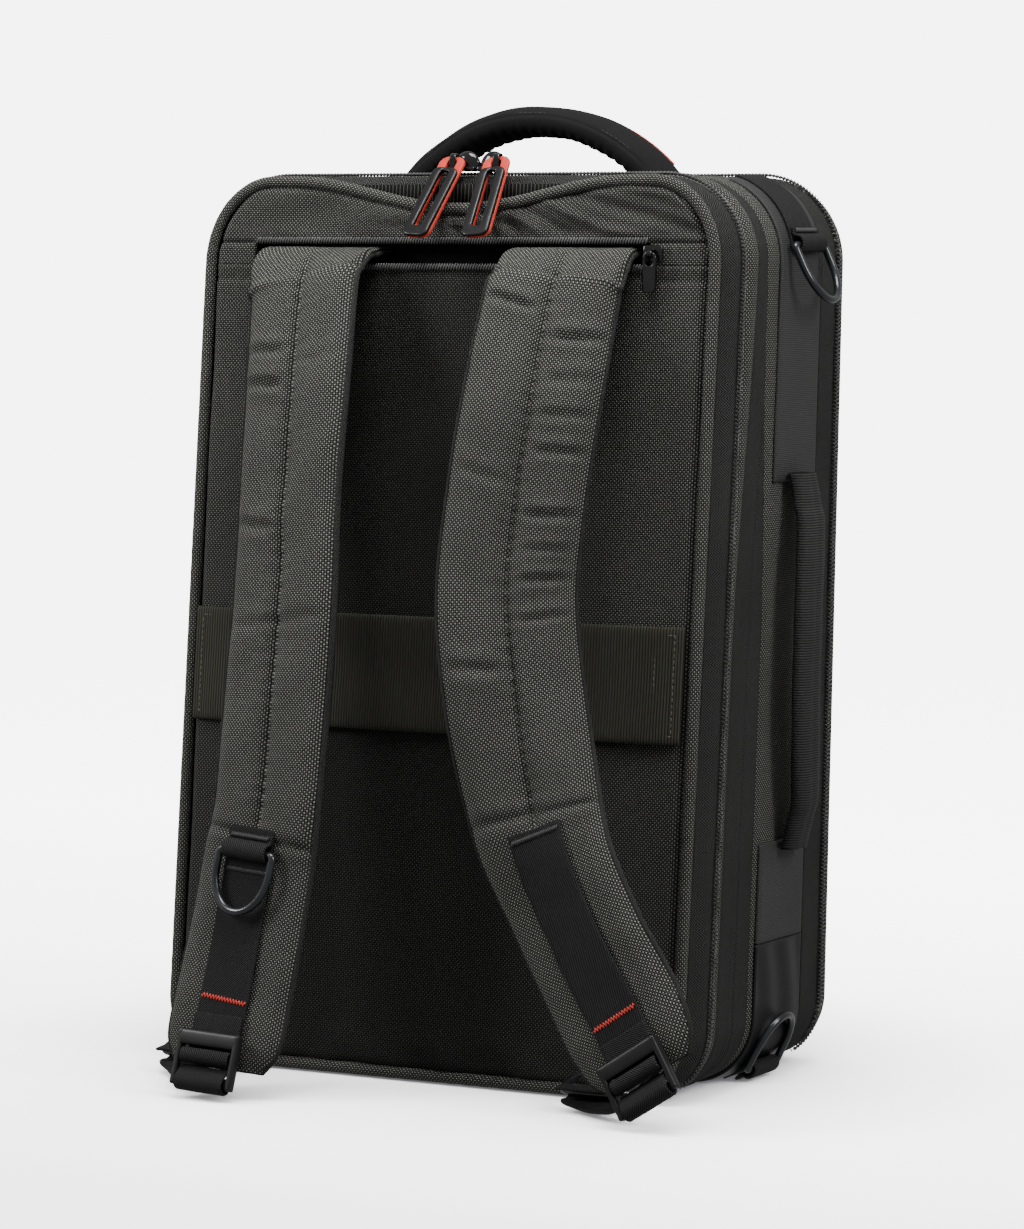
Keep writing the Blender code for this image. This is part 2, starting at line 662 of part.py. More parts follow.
POCKET_STEPS = 8
pocket_vertices = []
for layer_sheet in (0.0, CLOTH_WALL):
    for row in range(POCKET_STEPS + 1):
        v = row / POCKET_STEPS
        z = FRONT_POCKET_LOW + (FRONT_POCKET_HIGH - FRONT_POCKET_LOW) * v
        for column in range(POCKET_STEPS + 1):
            u = column / POCKET_STEPS * 2 - 1
            x = u * FRONT_POCKET_WIDTH / 2
            swell = (1 - u ** 4) * (1 - (2 * v - 1) ** 4) * (1.15 - 0.45 * v)
            lift = GAP + 0.3 * MM + FRONT_POCKET_BULGE * swell * 0.85 + layer_sheet
            pocket_vertices.append(to_world(x, front_depth(x, z) + lift, z))
pocket_faces = []
pocket_row = POCKET_STEPS + 1
for layer in (0, 1):
    base = layer * pocket_row ** 2
    for row in range(POCKET_STEPS):
        for column in range(POCKET_STEPS):
            corner = base + row * pocket_row + column
            pocket_faces.append((corner, corner + 1, corner + pocket_row + 1,
                                 corner + pocket_row))
pocket_border = [k for k in range(POCKET_STEPS)]
pocket_border += [k * pocket_row + POCKET_STEPS for k in range(POCKET_STEPS)]
pocket_border += [POCKET_STEPS * pocket_row + k for k in range(POCKET_STEPS, 0, -1)]
pocket_border += [k * pocket_row for k in range(POCKET_STEPS, 0, -1)]
for k, corner in enumerate(pocket_border):
    after = pocket_border[(k + 1) % len(pocket_border)]
    pocket_faces.append((corner, after, after + pocket_row ** 2, corner + pocket_row ** 2))
add_mesh("front_pocket", pocket_vertices, pocket_faces, CHARCOAL_CLOTH)

# Base panel and side patches
base_front = BASE_DEPTH * 0.95
base_back = LAPTOP_TAPE_START + 2 * MM
base_reach = OUTLINE_SPANS[0] - GAP
base_panel = box("base_panel", (-base_reach, body_y(base_back, 0), 0),
                 (base_reach, body_y(base_front, 0), BASE_SHEET))
claim(base_panel, "base_panel", BLACK_CLOTH)


def body_patch(name, stops, start, end, finish, level=0.0, sheet=PATCH_SHEET):
    """A thin patch on the body's side between two depths, lifted clear of what is under it."""
    near = GAP + level
    far = near + sheet
    rows = ((start, near), (start, far), (end, far), (end, near))
    return strip_on_body(name, stops, rows, finish)


def mirrored_stops(stops):
    """The same stretch of the outline on the left side."""
    return [2 * HALF_PERIMETER - s for s in stops]


base_patch_stops = stops_between(OUTLINE_SPANS[0] + GAP, side_stop(LOWER_PATCH_LOW - GAP))
for patch_name, stops in (("base_patch_right", base_patch_stops),
                          ("base_patch_left", mirrored_stops(base_patch_stops))):
    body_patch(patch_name, stops, PATCH_START, PATCH_END, BLACK_CLOTH)
upper_patch_end = side_stop(BODY_HEIGHT - TOP_RADIUS) + OUTLINE_SPANS[3] * 0.8
body_patch("side_patch_upper", stops_between(side_stop(UPPER_PATCH_LOW), upper_patch_end),
           PATCH_START, PATCH_END, SMOOTH_CLOTH)
body_patch("side_patch_lower",
           stops_between(side_stop(LOWER_PATCH_LOW), side_stop(LOWER_PATCH_HIGH)),
           PATCH_START, PATCH_END, SMOOTH_CLOTH)

# Side handle: a padded webbing grip bowed off the side. along: share between its two
# seats; depth: share of BASE_DEPTH; bow: share of SIDE_HANDLE_BOW; wide: share of its width.
SIDE_HANDLE = (
    (0.00, 0.570, 0.00, 0.85),
    (0.08, 0.560, 0.45, 0.90),
    (0.20, 0.540, 0.90, 1.00),
    (0.40, 0.515, 1.00, 1.00),
    (0.60, 0.510, 1.00, 1.00),
    (0.80, 0.520, 0.90, 1.00),
    (0.92, 0.535, 0.45, 0.95),
    (1.00, 0.542, 0.00, 0.90),
)
HANDLE_SECTION = ((-0.5, -0.2), (-0.28, -0.5), (0.28, -0.5), (0.5, -0.2),
                  (0.5, 0.2), (0.28, 0.5), (-0.28, 0.5), (-0.5, 0.2))
handle_low = LOWER_PATCH_HIGH - 4 * MM
handle_high = UPPER_PATCH_LOW + 4 * MM
seat_lift = 2 * GAP + PATCH_SHEET + SIDE_HANDLE_THICKNESS / 2
side_handle_rings = []
for along, depth_share, bow, wide in SIDE_HANDLE:
    z = handle_low + (handle_high - handle_low) * along
    x = HALF_WIDTH + seat_lift + SIDE_HANDLE_BOW * bow
    centre = to_world(x, BASE_DEPTH * depth_share, z)
    side_handle_rings.append([
        centre + Vector((SIDE_HANDLE_THICKNESS * rise, SIDE_HANDLE_WIDTH * wide * reach, 0))
        for reach, rise in HANDLE_SECTION])
loft("side_handle", side_handle_rings, BLACK_CLOTH)

# Top handle: a padded arch with a flattened round section
TOP_HANDLE_STEPS = 12
handle_y = body_y(TOP_HANDLE_DEPTH, BODY_HEIGHT)
foot_z = BODY_HEIGHT + GAP
half_span = TOP_HANDLE_SPAN / 2
arch_radius = (half_span ** 2 + TOP_HANDLE_RISE ** 2) / (2 * TOP_HANDLE_RISE)
arch_angle = math.asin(half_span / arch_radius)
arch_centre = Vector((0, handle_y, foot_z - arch_radius * math.cos(arch_angle)))
top_handle_rings = []
for k in range(TOP_HANDLE_STEPS + 1):
    angle = arch_angle * (2 * k / TOP_HANDLE_STEPS - 1)
    outward = Vector((math.sin(angle), 0, math.cos(angle)))
    along = Vector((math.cos(angle), 0, -math.sin(angle)))
    ring = []
    for reach, rise in HANDLE_SECTION:
        point = arch_centre + outward * (arch_radius + TOP_HANDLE_THICKNESS * rise)
        point.y += TOP_HANDLE_WIDTH * reach
        if k in (0, TOP_HANDLE_STEPS):
            point += along * (point.z - foot_z) / math.sin(angle)
        ring.append(point)
    top_handle_rings.append(ring)
loft("top_handle", top_handle_rings, BLACK_CLOTH)


# Padded shoulder straps
slot_middle = SLOT_BOTTOM + SLOT_HEIGHT / 2
pocket_seat = body_y(0, slot_middle) - body_y(tray_back - POCKET_WALL, slot_middle) + 4 * GAP


def fill_row(row):
    """A strap's row with its slot height and pocket seat worked out."""
    height, across, out, *rest = row
    if height is None:
        height = slot_middle / BODY_HEIGHT
    if out is None:
        out = pocket_seat / STRAP_STANDOFF
    return (height, across, out, *rest)


def strap_row(table, place):
    """A row of a strap's table at a fractional place, by a smooth curve through the rows."""
    last = len(table) - 1
    first = min(int(place), last - 1)
    share = place - first
    rows = [table[min(max(first + step, 0), last)] for step in (-1, 0, 1, 2)]
    values = []
    for before, start, end, after in zip(*rows):
        values.append(0.5 * (2 * start + (end - before) * share
                             + (2 * before - 5 * start + 4 * end - after) * share ** 2
                             + (3 * start - before - 3 * end + after) * share ** 3))
    return dict(zip(STRAP_COLUMNS, values))


def strap_centre(row):
    """World point of the strap's centre line."""
    z = row["height"] * BODY_HEIGHT
    return Vector((row["across"] * HALF_WIDTH, body_y(0, z) - row["out"] * STRAP_STANDOFF, z))


def strap_frame(table, place):
    """Centre, width direction, way down and outward direction of a strap at a place."""
    step = 0.05
    last = len(table) - 1
    row = strap_row(table, place)
    ahead = strap_centre(strap_row(table, min(place + step, last)))
    behind = strap_centre(strap_row(table, max(place - step, 0)))
    down = (ahead - behind).normalized()
    turn = math.radians(row["turn"])
    wide = Vector((math.cos(turn), math.sin(turn), 0))
    wide = (wide - down * wide.dot(down)).normalized()
    outward = down.cross(wide).normalized()
    return row, strap_centre(row), wide, down, outward


STRAP_FRONT = ((-1.0, 0.0), (-0.93, 0.66), (-0.6, 1.0), (-0.15, 0.94), (0.0, None),
               (0.15, 0.94), (0.6, 1.0), (0.93, 0.66), (1.0, 0.0))
STRAP_BACK = ((0.92, -0.7), (0.5, -1.0), (-0.5, -1.0), (-0.92, -0.7))
SEAM_DEPTH = 0.45              # share of the half thickness


def strap_ring(table, place):
    """The strap's cross-section at a place: two lobes in front, flat behind."""
    row, centre, wide, _, outward = strap_frame(table, place)
    half_width = STRAP_WIDTH / 2 * row["wide"]
    half_thickness = STRAP_THICKNESS / 2 * row["thick"]
    ring = []
    for across, rise in STRAP_FRONT + STRAP_BACK:
        if rise is None:
            rise = 1.0 - SEAM_DEPTH * max(row["seam"], 0)
        ring.append(centre + wide * across * half_width + outward * rise * half_thickness)
    return ring


STRAPS = {"left": [fill_row(row) for row in LEFT_STRAP],
          "right": [fill_row(row) for row in RIGHT_STRAP]}
for side, table in STRAPS.items():
    places = [0] + [k / 2 for k in range(2, 2 * len(table) - 1)]
    loft(side + "_strap", [strap_ring(table, place) for place in places], CHARCOAL_CLOTH)


def strap_face(table, place, lift):
    """A point over the strap's outer face, lifted off it, and the frame there."""
    row, centre, wide, down, outward = strap_frame(table, place)
    face = STRAP_THICKNESS / 2 * row["thick"]
    return centre + outward * (face + lift), wide, down, outward


# Webbing, buckles and adjusters
LAYER_LIFT = 2 * GAP + WEBBING_SHEET / 2
BUCKLE_LIFT = 2 * (GAP + WEBBING_SHEET) + 2 * GAP + BUCKLE_THICKNESS / 2
ADJUSTER_SEATS = {"left": -1, "right": 1}


def make_buckle(name, place):
    """A ladder-lock frame: a broad top bar, a thin middle bar and a lower bar."""
    half_width = BUCKLE_WIDTH / 2
    half_window = BUCKLE_WINDOW / 2
    half_thick = BUCKLE_THICKNESS / 2
    frame = box(name, (-half_width, -half_thick, -BUCKLE_LENGTH), (half_width, half_thick, 0))
    bevel(frame, BUCKLE_BEVEL)
    middle_half = BUCKLE_MIDDLE_BAR / 2
    windows = ((-BUCKLE_TOP_BAR, -BUCKLE_MIDDLE_AT + middle_half),
               (-BUCKLE_MIDDLE_AT - middle_half, -BUCKLE_LENGTH + BUCKLE_LOWER_BAR))
    for high, low in windows:
        cut(frame, box("window_cutter", (-half_window, -2 * half_thick, low),
                       (half_window, 2 * half_thick, high)))
    bars = ((middle_half, -BUCKLE_MIDDLE_AT - middle_half, -BUCKLE_MIDDLE_AT + middle_half),
            (BUCKLE_LOWER_SHEET / 2, -BUCKLE_LENGTH - GAP, -BUCKLE_LENGTH + BUCKLE_LOWER_BAR))
    for thin, low, high in bars:
        for face in (-1, 1):
            edge = sorted((face * thin, face * 2 * half_thick))
            cut(frame, box("bar_cutter", (-half_window, edge[0], low),
                           (half_window, edge[1], high)))
    claim(frame, name, BLACK_PLASTIC)
    frame.data.transform(place)
    return frame


def frame_matrix(centre, wide, outward, down):
    """Matrix whose X is the width, Y points into the strap and Z points up it."""
    columns = (wide, -outward, -down, centre)
    return Matrix([[column[k] for column in columns] for k in range(3)] + [[0, 0, 0, 1]])


hook_clear = HOOK_WIRE / 2 + 2 * GAP + WEBBING_SHEET / 2
level = Vector((1, 0, 0))
for side, table in STRAPS.items():
    end_place = BUCKLE_PLACES[side]
    buckle_top, wide, down, outward = strap_face(table, end_place, BUCKLE_LIFT)
    make_buckle(side + "_buckle", frame_matrix(buckle_top, wide, outward, down))

    def buckle_point(along, out):
        """A point in the buckle's own frame: down its length and out of its middle plane."""
        return buckle_top + down * along + outward * out

    # The strap's webbing passes behind the top bar, round the middle bar and back up
    layer_two = -BUCKLE_THICKNESS / 2 - GAP - WEBBING_SHEET / 2
    layer_one = layer_two - WEBBING_SHEET - GAP
    bar_clear = BUCKLE_MIDDLE_BAR / 2 * math.sqrt(2) + GAP + WEBBING_SHEET / 2
    webbing_places = [WEBBING_TOP_ROW[side]]
    webbing_places += [k / 2 for k in range(2 * len(table))
                       if webbing_places[0] + 0.1 < k / 2 < end_place - 0.1]
    webbing_frames = [strap_face(table, place, LAYER_LIFT) for place in webbing_places]
    webbing = [frame[0] for frame in webbing_frames]
    widths = [frame[1] for frame in webbing_frames]
    window_at = (BUCKLE_TOP_BAR + BUCKLE_MIDDLE_AT - BUCKLE_MIDDLE_BAR / 2) / 2
    turn_path = [(BUCKLE_MIDDLE_AT - 4 * MM, layer_one),
                 (BUCKLE_MIDDLE_AT - 1 * MM, layer_one)]
    for angle in (-50, 0, 45, 90):
        turn_path.append((BUCKLE_MIDDLE_AT + bar_clear * math.cos(math.radians(angle)),
                          bar_clear * math.sin(math.radians(angle))))
    turn_path += [(window_at + 0.3 * MM, 1.9 * MM), (window_at, -2.2 * MM),
                  (BUCKLE_TOP_BAR + 0.8 * MM, layer_two), (BUCKLE_TOP_BAR - 2 * MM, layer_two),
                  (-9 * MM, layer_two)]
    webbing += [buckle_point(along, out) for along, out in turn_path]
    widths += [wide] * len(turn_path)
    ribbon(side + "_strap_webbing", webbing, widths, WEBBING_WIDTH, WEBBING_SHEET, BLACK_CLOTH)

    # The adjuster turns round the lower bar and runs back to the hook near the base
    bar_at = BUCKLE_LENGTH - BUCKLE_LOWER_BAR / 2
    wrap = math.hypot(BUCKLE_LOWER_BAR, BUCKLE_LOWER_SHEET) / 2 + 1.4 * GAP + WEBBING_SHEET / 2
    wrap_path = [(bar_at - 7.5 * MM, -1.5 * MM), (bar_at - 5.2 * MM, 0.8 * MM)]
    for angle in (50, 90, 135, 180, 225, 262):
        wrap_path.append((bar_at - wrap * math.cos(math.radians(angle)),
                          wrap * math.sin(math.radians(angle))))
    adjuster = [buckle_point(along, out) for along, out in wrap_path]
    adjuster_widths = [wide] * len(wrap_path)
    hand = ADJUSTER_SEATS[side]
    hook_bar = Vector((hand * BASE_LOOP_X, body_y(0, HOOK_Z) - HOOK_STANDOFF, HOOK_Z))
    start = adjuster[-1]
    goal = hook_bar + Vector((0, -5 * MM, -hook_clear))
    low = WEBBING_SHEET / 2 + 0.8 * MM
    for share in (0.35, 0.7):
        point = start.lerp(goal, share)
        point.z = max(point.z * (1 - share * 0.5), low)
        adjuster.append(point)
        adjuster_widths.append(wide.lerp(level, share))
    turn_steps = [(math.sin(math.radians(angle)), -math.cos(math.radians(angle)))
                  for angle in (0, 45, 90, 135, 180)]
    adjuster += [goal]
    adjuster += [hook_bar + Vector((0, out * hook_clear, up * hook_clear))
                 for out, up in turn_steps]
    adjuster += [hook_bar + Vector((0, -10 * MM, hook_clear))]
    adjuster_widths += [level] * (len(turn_steps) + 2)
    ribbon(side + "_adjuster", adjuster, adjuster_widths, WEBBING_WIDTH, WEBBING_SHEET,
           BLACK_CLOTH)

    # The hook is a long closed ring, with the adjuster on one bar and the base loop on the other
    half_hook = (HOOK_WIDTH - HOOK_WIRE) / 2
    reach = HOOK_LENGTH - HOOK_WIRE
    corner = 3 * MM
    outline = ((-half_hook + corner, 0), (half_hook - corner, 0), (half_hook, corner),
               (half_hook * 0.95, reach - corner), (half_hook * 0.85, reach),
               (-half_hook * 0.85, reach), (-half_hook * 0.95, reach - corner),
               (-half_hook, corner))
    hook_points = [hook_bar + Vector((x, y, HOOK_RISE * y / reach)) for x, y in outline]
    tube(side + "_hook", hook_points, HOOK_WIRE / 2, BLACK_PLASTIC, cyclic=True)
    far_bar = hook_bar + Vector((0, reach, HOOK_RISE))
    loop_lift = GAP + WEBBING_SHEET / 2 + 0.2 * MM
    loop = [panel_front(far_bar.x, far_bar.z + length, loop_lift)
            for length in (BASE_LOOP_RUN, BASE_LOOP_RUN / 2)]
    loop += [far_bar + Vector((0, -out * hook_clear, -up * hook_clear))
             for out, up in turn_steps]
    loop.append(panel_front(far_bar.x, far_bar.z - hook_clear - 1.5 * MM, loop_lift))
    ribbon(side + "_base_loop", loop, level, TAB_WIDTH * 0.85, WEBBING_SHEET, BLACK_CLOTH)


# D-rings
def ring_points(bar, across, away, wire=RING_WIRE):
    """Points of a D-ring: a straight bar, two legs and a round bow."""
    half = (RING_WIDTH - wire) / 2
    bow = RING_LENGTH - wire / 2 - RING_LEG
    shape = [(-half + 2 * MM, 0), (half - 2 * MM, 0), (half, 1.5 * MM), (half, RING_LEG)]
    for k in range(1, 8):
        angle = math.pi * k / 8
        shape.append((half * math.cos(angle), RING_LEG + bow * math.sin(angle)))
    shape += [(-half, RING_LEG), (-half, 1.5 * MM)]
    return [bar + across * x + away * y for x, y in shape]


def ring_tab(name, bar, along_in, off, across, width, finish, first_layer):
    """Webbing that ends in a loop round a ring's bar.

    along_in: direction in which the webbing arrives; off: direction off the surface;
    first_layer: the path that it follows before the loop.
    """
    clear = RING_WIRE / 2 + GAP * 1.5 + WEBBING_SHEET / 2
    loop = [bar + off * (-clear),
            bar + off * (-clear * 0.71) + along_in * clear * 0.71,
            bar + along_in * clear,
            bar + off * (clear * 0.71) + along_in * clear * 0.71,
            bar + off * clear,
            bar + off * (clear * 0.75) - along_in * (clear * 1.15),
            bar + off * (-clear + WEBBING_SHEET + GAP) - along_in * TAB_RETURN * 0.62,
            bar + off * (-clear + WEBBING_SHEET + GAP) - along_in * TAB_RETURN]
    return ribbon(name, first_layer + loop, across, width, WEBBING_SHEET, finish)


def side_frame(s, depth, level):
    """Point on the body's side lifted by the level, with the way along and off it."""
    point = surface_point(s, depth, 0, level)
    ahead = surface_point(s + MM, depth, 0, level)
    off = (surface_point(s, depth, 0, level + MM) - point).normalized()
    return point, (ahead - point).normalized(), off


TAB_CLEAR = RING_WIRE / 2 + GAP * 1.5 + WEBBING_SHEET / 2
TAB_LEVEL = 2 * GAP + PATCH_SHEET + WEBBING_SHEET / 2
ALONG_DEPTH = Vector((0, 1, 0))


def hang_ring(prefix, z, tilt, coming_down, run):
    """A ring, its tab and the directions of its hinge, at a corner of the right side."""
    stop = side_stop(z)
    _, along, off = side_frame(stop, SIDE_RING_DEPTH, TAB_LEVEL)
    bar, _, _ = side_frame(stop, SIDE_RING_DEPTH, TAB_LEVEL + TAB_CLEAR)
    arrive = -along if coming_down else along
    sign = 1 if coming_down else -1
    layer = [side_frame(stop + sign * length, SIDE_RING_DEPTH, TAB_LEVEL)[0] for length in run]
    ring_tab(prefix + "_ring_tab", bar, arrive, off, ALONG_DEPTH, TAB_WIDTH, BLACK_CLOTH, layer)
    straight = Vector((0, 0, -1 if coming_down else 1))
    away = Matrix.Rotation(math.radians(tilt), 3, "Y") @ straight
    if away.x < 0:
        away.x = -away.x
    ring = tube(prefix + "_ring", ring_points(bar, ALONG_DEPTH, away), RING_WIRE / 2,
                BLACK_METAL, cyclic=True)
    set_origin(ring, bar)
    return ring


hang_ring("upper", UPPER_RING_Z, UPPER_RING_TILT, True,
          [46 * MM, 38 * MM, 31 * MM, 24 * MM, 17 * MM, 11 * MM, 4 * MM])
hang_ring("lower", LOWER_RING_Z, LOWER_RING_TILT, False, [13 * MM, 9 * MM, 4 * MM])

# D-ring on the left strap
ring_place = WEBBING_TOP_ROW["left"] - 0.1
loop_lift = LAYER_LIFT + WEBBING_SHEET + GAP
ring_seat, ring_wide, ring_down, ring_out = strap_face(STRAPS["left"], ring_place, 0)
strap_bar = ring_seat + ring_out * (LAYER_LIFT + TAB_CLEAR)
loop_start = [ring_seat + ring_out * LAYER_LIFT - ring_down * length
              for length in (12 * MM, 4 * MM)]
ring_tab("strap_ring_loop", strap_bar, ring_down, ring_out, ring_wide, TAB_WIDTH, BLACK_CLOTH,
         loop_start)
ring_away = (ring_down + ring_out * math.tan(math.radians(4))).normalized()
strap_ring_object = tube("strap_ring", ring_points(strap_bar, ring_wide, ring_away),
                         RING_WIRE / 2, BLACK_METAL, cyclic=True)
set_origin(strap_ring_object, strap_bar)


# Zip sliders and their long pullers
def stadium(length, width, start, steps=5):
    """Outline of a long rounded rectangle in (x, y), its top end at y = start."""
    radius = width / 2 * 0.75
    centres = ((width / 2 - radius, start - radius, 0), (-width / 2 + radius, start - radius, 90),
               (-width / 2 + radius, start - length + radius, 180),
               (width / 2 - radius, start - length + radius, 270))
    points = []
    for x, y, first in centres:
        for k in range(steps // 2 + 1):
            angle = math.radians(first + 90 * k / (steps // 2))
            points.append((x + radius * math.cos(angle), y + radius * math.sin(angle)))
    return points


def flat_ring(name, outer, inner, low, high, finish, place):
    """A flat plate with a hole, from two outlines with as many points, moved into place."""
    rings = []
    for outline, z in ((outer, low), (outer, high), (inner, high), (inner, low)):
        rings.append([place @ Vector((x, y, z)) for x, y in outline])
    columns = [[ring[k] for ring in rings] for k in range(len(outer))]
    return loft(name, columns, finish, closed=True)


PULLER_PIVOT_BAR = 1.8 * MM
# x: where each slider stands on the chain; skew: degrees that its puller hangs out of square
SLIDERS = {"left": (-9.5 * MM, -5), "right": (14.8 * MM, 6)}
slider_base = BODY_HEIGHT + CHAIN_HEIGHT + 2 * GAP
slider_y = body_y(LAPTOP_ZIP_DEPTH, BODY_HEIGHT)
LUG_AHEAD = SLIDER_WIDTH / 2 - LUG_SIZE / 4
for side, (slider_x, skew) in SLIDERS.items():
    pivot = Vector((slider_x, slider_y - LUG_AHEAD, slider_base + PIVOT_RISE))
    inward = 1 if side == "left" else -1
    plate_from = slider_x - inward * LUG_WIDTH / 2
    plate_to = plate_from + inward * SLIDER_LENGTH
    edges = sorted((plate_from, plate_to))
    slider = box("slider", (edges[0], slider_y - SLIDER_WIDTH / 2, slider_base),
                 (edges[1], slider_y + SLIDER_WIDTH / 2, slider_base + SLIDER_PLATE))
    bevel(slider, 0.7 * MM)
    lug = box("lug", (pivot.x - LUG_WIDTH / 2, pivot.y - LUG_SIZE / 2, slider_base + GAP),
              (pivot.x + LUG_WIDTH / 2, pivot.y + LUG_SIZE / 2, pivot.z + LUG_SIZE / 2))
    cut(slider, lug, "UNION")
    dome_edges = sorted((plate_from + inward * 0.6 * MM, plate_to - inward * 0.6 * MM))
    bpy.ops.mesh.primitive_uv_sphere_add(segments=12, ring_count=8, radius=1)
    dome = bpy.context.object
    dome_half = (dome_edges[1] - dome_edges[0]) / 2
    dome.data.transform(Matrix.Diagonal((dome_half, 2.4 * MM, 6.8 * MM, 1)))
    dome.data.transform(Matrix.Translation((sum(dome_edges) / 2,
                                            slider_y + SLIDER_WIDTH / 2 - 2.1 * MM,
                                            slider_base + 1.6 * MM)))
    cut(slider, dome, "UNION")
    floor_cut = box("floor_cutter", (edges[0] - 5 * MM, slider_y - 20 * MM, slider_base - 20 * MM),
                    (edges[1] + 5 * MM, slider_y + 20 * MM, slider_base))
    cut(slider, floor_cut)
    bpy.ops.mesh.primitive_cylinder_add(vertices=12, radius=1.75 * MM, depth=3 * LUG_WIDTH,
                                        location=pivot, rotation=(0, math.pi / 2, 0))
    bore = bpy.context.object
    cut(slider, bore)
    claim(slider, "slider_" + side, BLACK_PLASTIC)
    turn = (Matrix.Translation(pivot) @ Matrix.Rotation(math.radians(PULLER_DROOP), 4, "X")
            @ Matrix.Rotation(math.radians(skew), 4, "Z"))
    top = PULLER_PIVOT_BAR / 2
    slot_length = PULLER_LENGTH - PULLER_PIVOT_BAR - PULLER_FOOT
    core = flat_ring("puller_" + side + "_core",
                     stadium(PULLER_LENGTH, PULLER_WIDTH, top),
                     stadium(slot_length, PULLER_SLOT, top - PULLER_PIVOT_BAR),
                     -PULLER_CORE / 2, PULLER_CORE / 2, RED_RUBBER, turn)
    cover_top = -PULLER_BARE
    cover_inset = 0.8 * MM
    cover_slot = PULLER_LENGTH - PULLER_BARE + top - PULLER_FOOT - 2 * MM
    cover = flat_ring("puller_" + side,
                      stadium(PULLER_LENGTH - PULLER_BARE + top - cover_inset,
                              PULLER_WIDTH - cover_inset, cover_top),
                      stadium(cover_slot - 1.2 * MM, PULLER_SLOT, cover_top - 2 * MM),
                      PULLER_CORE / 2 + GAP, PULLER_CORE / 2 + GAP + PULLER_TOP,
                      BLACK_PLASTIC, turn)
    set_origin(core, pivot)
    set_origin(cover, pivot)

# Strap pocket's slider with a flat pull
pull_pivot = panel_front(POCKET_PULL_X, POCKET_PULL_Z, 6.2 * MM)
lug_half = 1.6 * MM
slider_plate = box("pocket_slider",
                   (POCKET_PULL_X - 5 * MM, pull_pivot.y + 2.2 * MM, POCKET_PULL_Z - 4 * MM),
                   (POCKET_PULL_X + 5 * MM, pull_pivot.y + 4.2 * MM, POCKET_PULL_Z + 4 * MM))
pull_lug = box("pull_lug",
               (POCKET_PULL_X - lug_half, pull_pivot.y - 2.1 * MM, POCKET_PULL_Z - 2.1 * MM),
               (POCKET_PULL_X + lug_half, pull_pivot.y + 3 * MM, POCKET_PULL_Z + 2.1 * MM))
cut(slider_plate, pull_lug, "UNION")
bpy.ops.mesh.primitive_cylinder_add(vertices=10, radius=1.35 * MM, depth=12 * MM,
                                    location=pull_pivot, rotation=(0, math.pi / 2, 0))
cut(slider_plate, bpy.context.object)
claim(slider_plate, "pocket_slider", BLACK_PLASTIC)
map_vertices(slider_plate, lambda place: Vector(
    (place.x, place.y + BACK_LEAN * (place.z - POCKET_PULL_Z), place.z)))
pull_bar = 1.3 * MM
pull_turn = Matrix.Translation(pull_pivot) @ Matrix.Rotation(math.radians(86), 4, "X")
pull = flat_ring("pocket_pull",
                 stadium(POCKET_PULL_LENGTH, POCKET_PULL_WIDTH, pull_bar / 2),
                 stadium(5.2 * MM, 2 * lug_half + 0.9 * MM, -pull_bar / 2),
                 -POCKET_PULL_SHEET / 2 + 0.2 * MM, POCKET_PULL_SHEET / 2 - 0.2 * MM,
                 BLACK_PLASTIC, pull_turn)
set_origin(pull, pull_pivot)

# Empty collection of used-up cutters
if not CUTTERS.objects:
    bpy.data.collections.remove(CUTTERS)
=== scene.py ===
"""Travel backpack, dressed: cloth, zips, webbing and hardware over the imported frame.

The bag stands with its wearer's side (back panel and straps) towards -Y and its handle side
towards +X. Sizes are metres. A band of the body is a surface of two parameters: s, the length
along the bag's rounded outline from the middle of its base, and depth, from back to front.
"""

import math

import bpy
import numpy as np
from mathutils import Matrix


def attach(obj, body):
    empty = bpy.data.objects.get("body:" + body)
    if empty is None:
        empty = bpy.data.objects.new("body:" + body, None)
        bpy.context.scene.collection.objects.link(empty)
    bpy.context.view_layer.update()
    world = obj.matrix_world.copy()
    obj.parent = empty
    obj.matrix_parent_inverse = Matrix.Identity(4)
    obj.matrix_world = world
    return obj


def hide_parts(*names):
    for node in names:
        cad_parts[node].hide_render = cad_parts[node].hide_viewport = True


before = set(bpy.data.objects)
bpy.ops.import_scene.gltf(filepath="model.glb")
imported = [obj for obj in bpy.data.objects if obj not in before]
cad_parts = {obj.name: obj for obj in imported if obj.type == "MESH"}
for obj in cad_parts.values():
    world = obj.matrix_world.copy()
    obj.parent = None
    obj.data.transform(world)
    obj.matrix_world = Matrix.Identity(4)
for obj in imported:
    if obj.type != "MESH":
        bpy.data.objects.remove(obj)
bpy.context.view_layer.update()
MM = 0.001

# Camera at the photo's angle, about 2.3 m away and a little above the bag's middle, on a
# plain pale floor under soft studio light: a broad lamp from the left front, one from
# the right side, one from above, and a white surround.
camera_data = bpy.data.cameras.new("camera")
camera_data.lens = 141.8
camera_data.sensor_width = 36.0
camera_data.clip_end = 60.0
camera = bpy.data.objects.new("camera", camera_data)
bpy.context.scene.collection.objects.link(camera)
bpy.context.scene.camera = camera


def aim(thing, place, target):
    """Puts a camera or lamp at a place, looking at the target with its top upwards."""
    away = np.subtract(place, target)
    flat = math.hypot(away[0], away[1])
    thing.location = place
    thing.rotation_euler = (math.atan2(flat, away[2]), 0, math.atan2(away[0], -away[1]))


CAMERA_PLACE = (1.1756, -2.0856, 0.4130)
CAMERA_TARGET = (0.0543, -0.0825, 0.2299)
aim(camera, CAMERA_PLACE, CAMERA_TARGET)

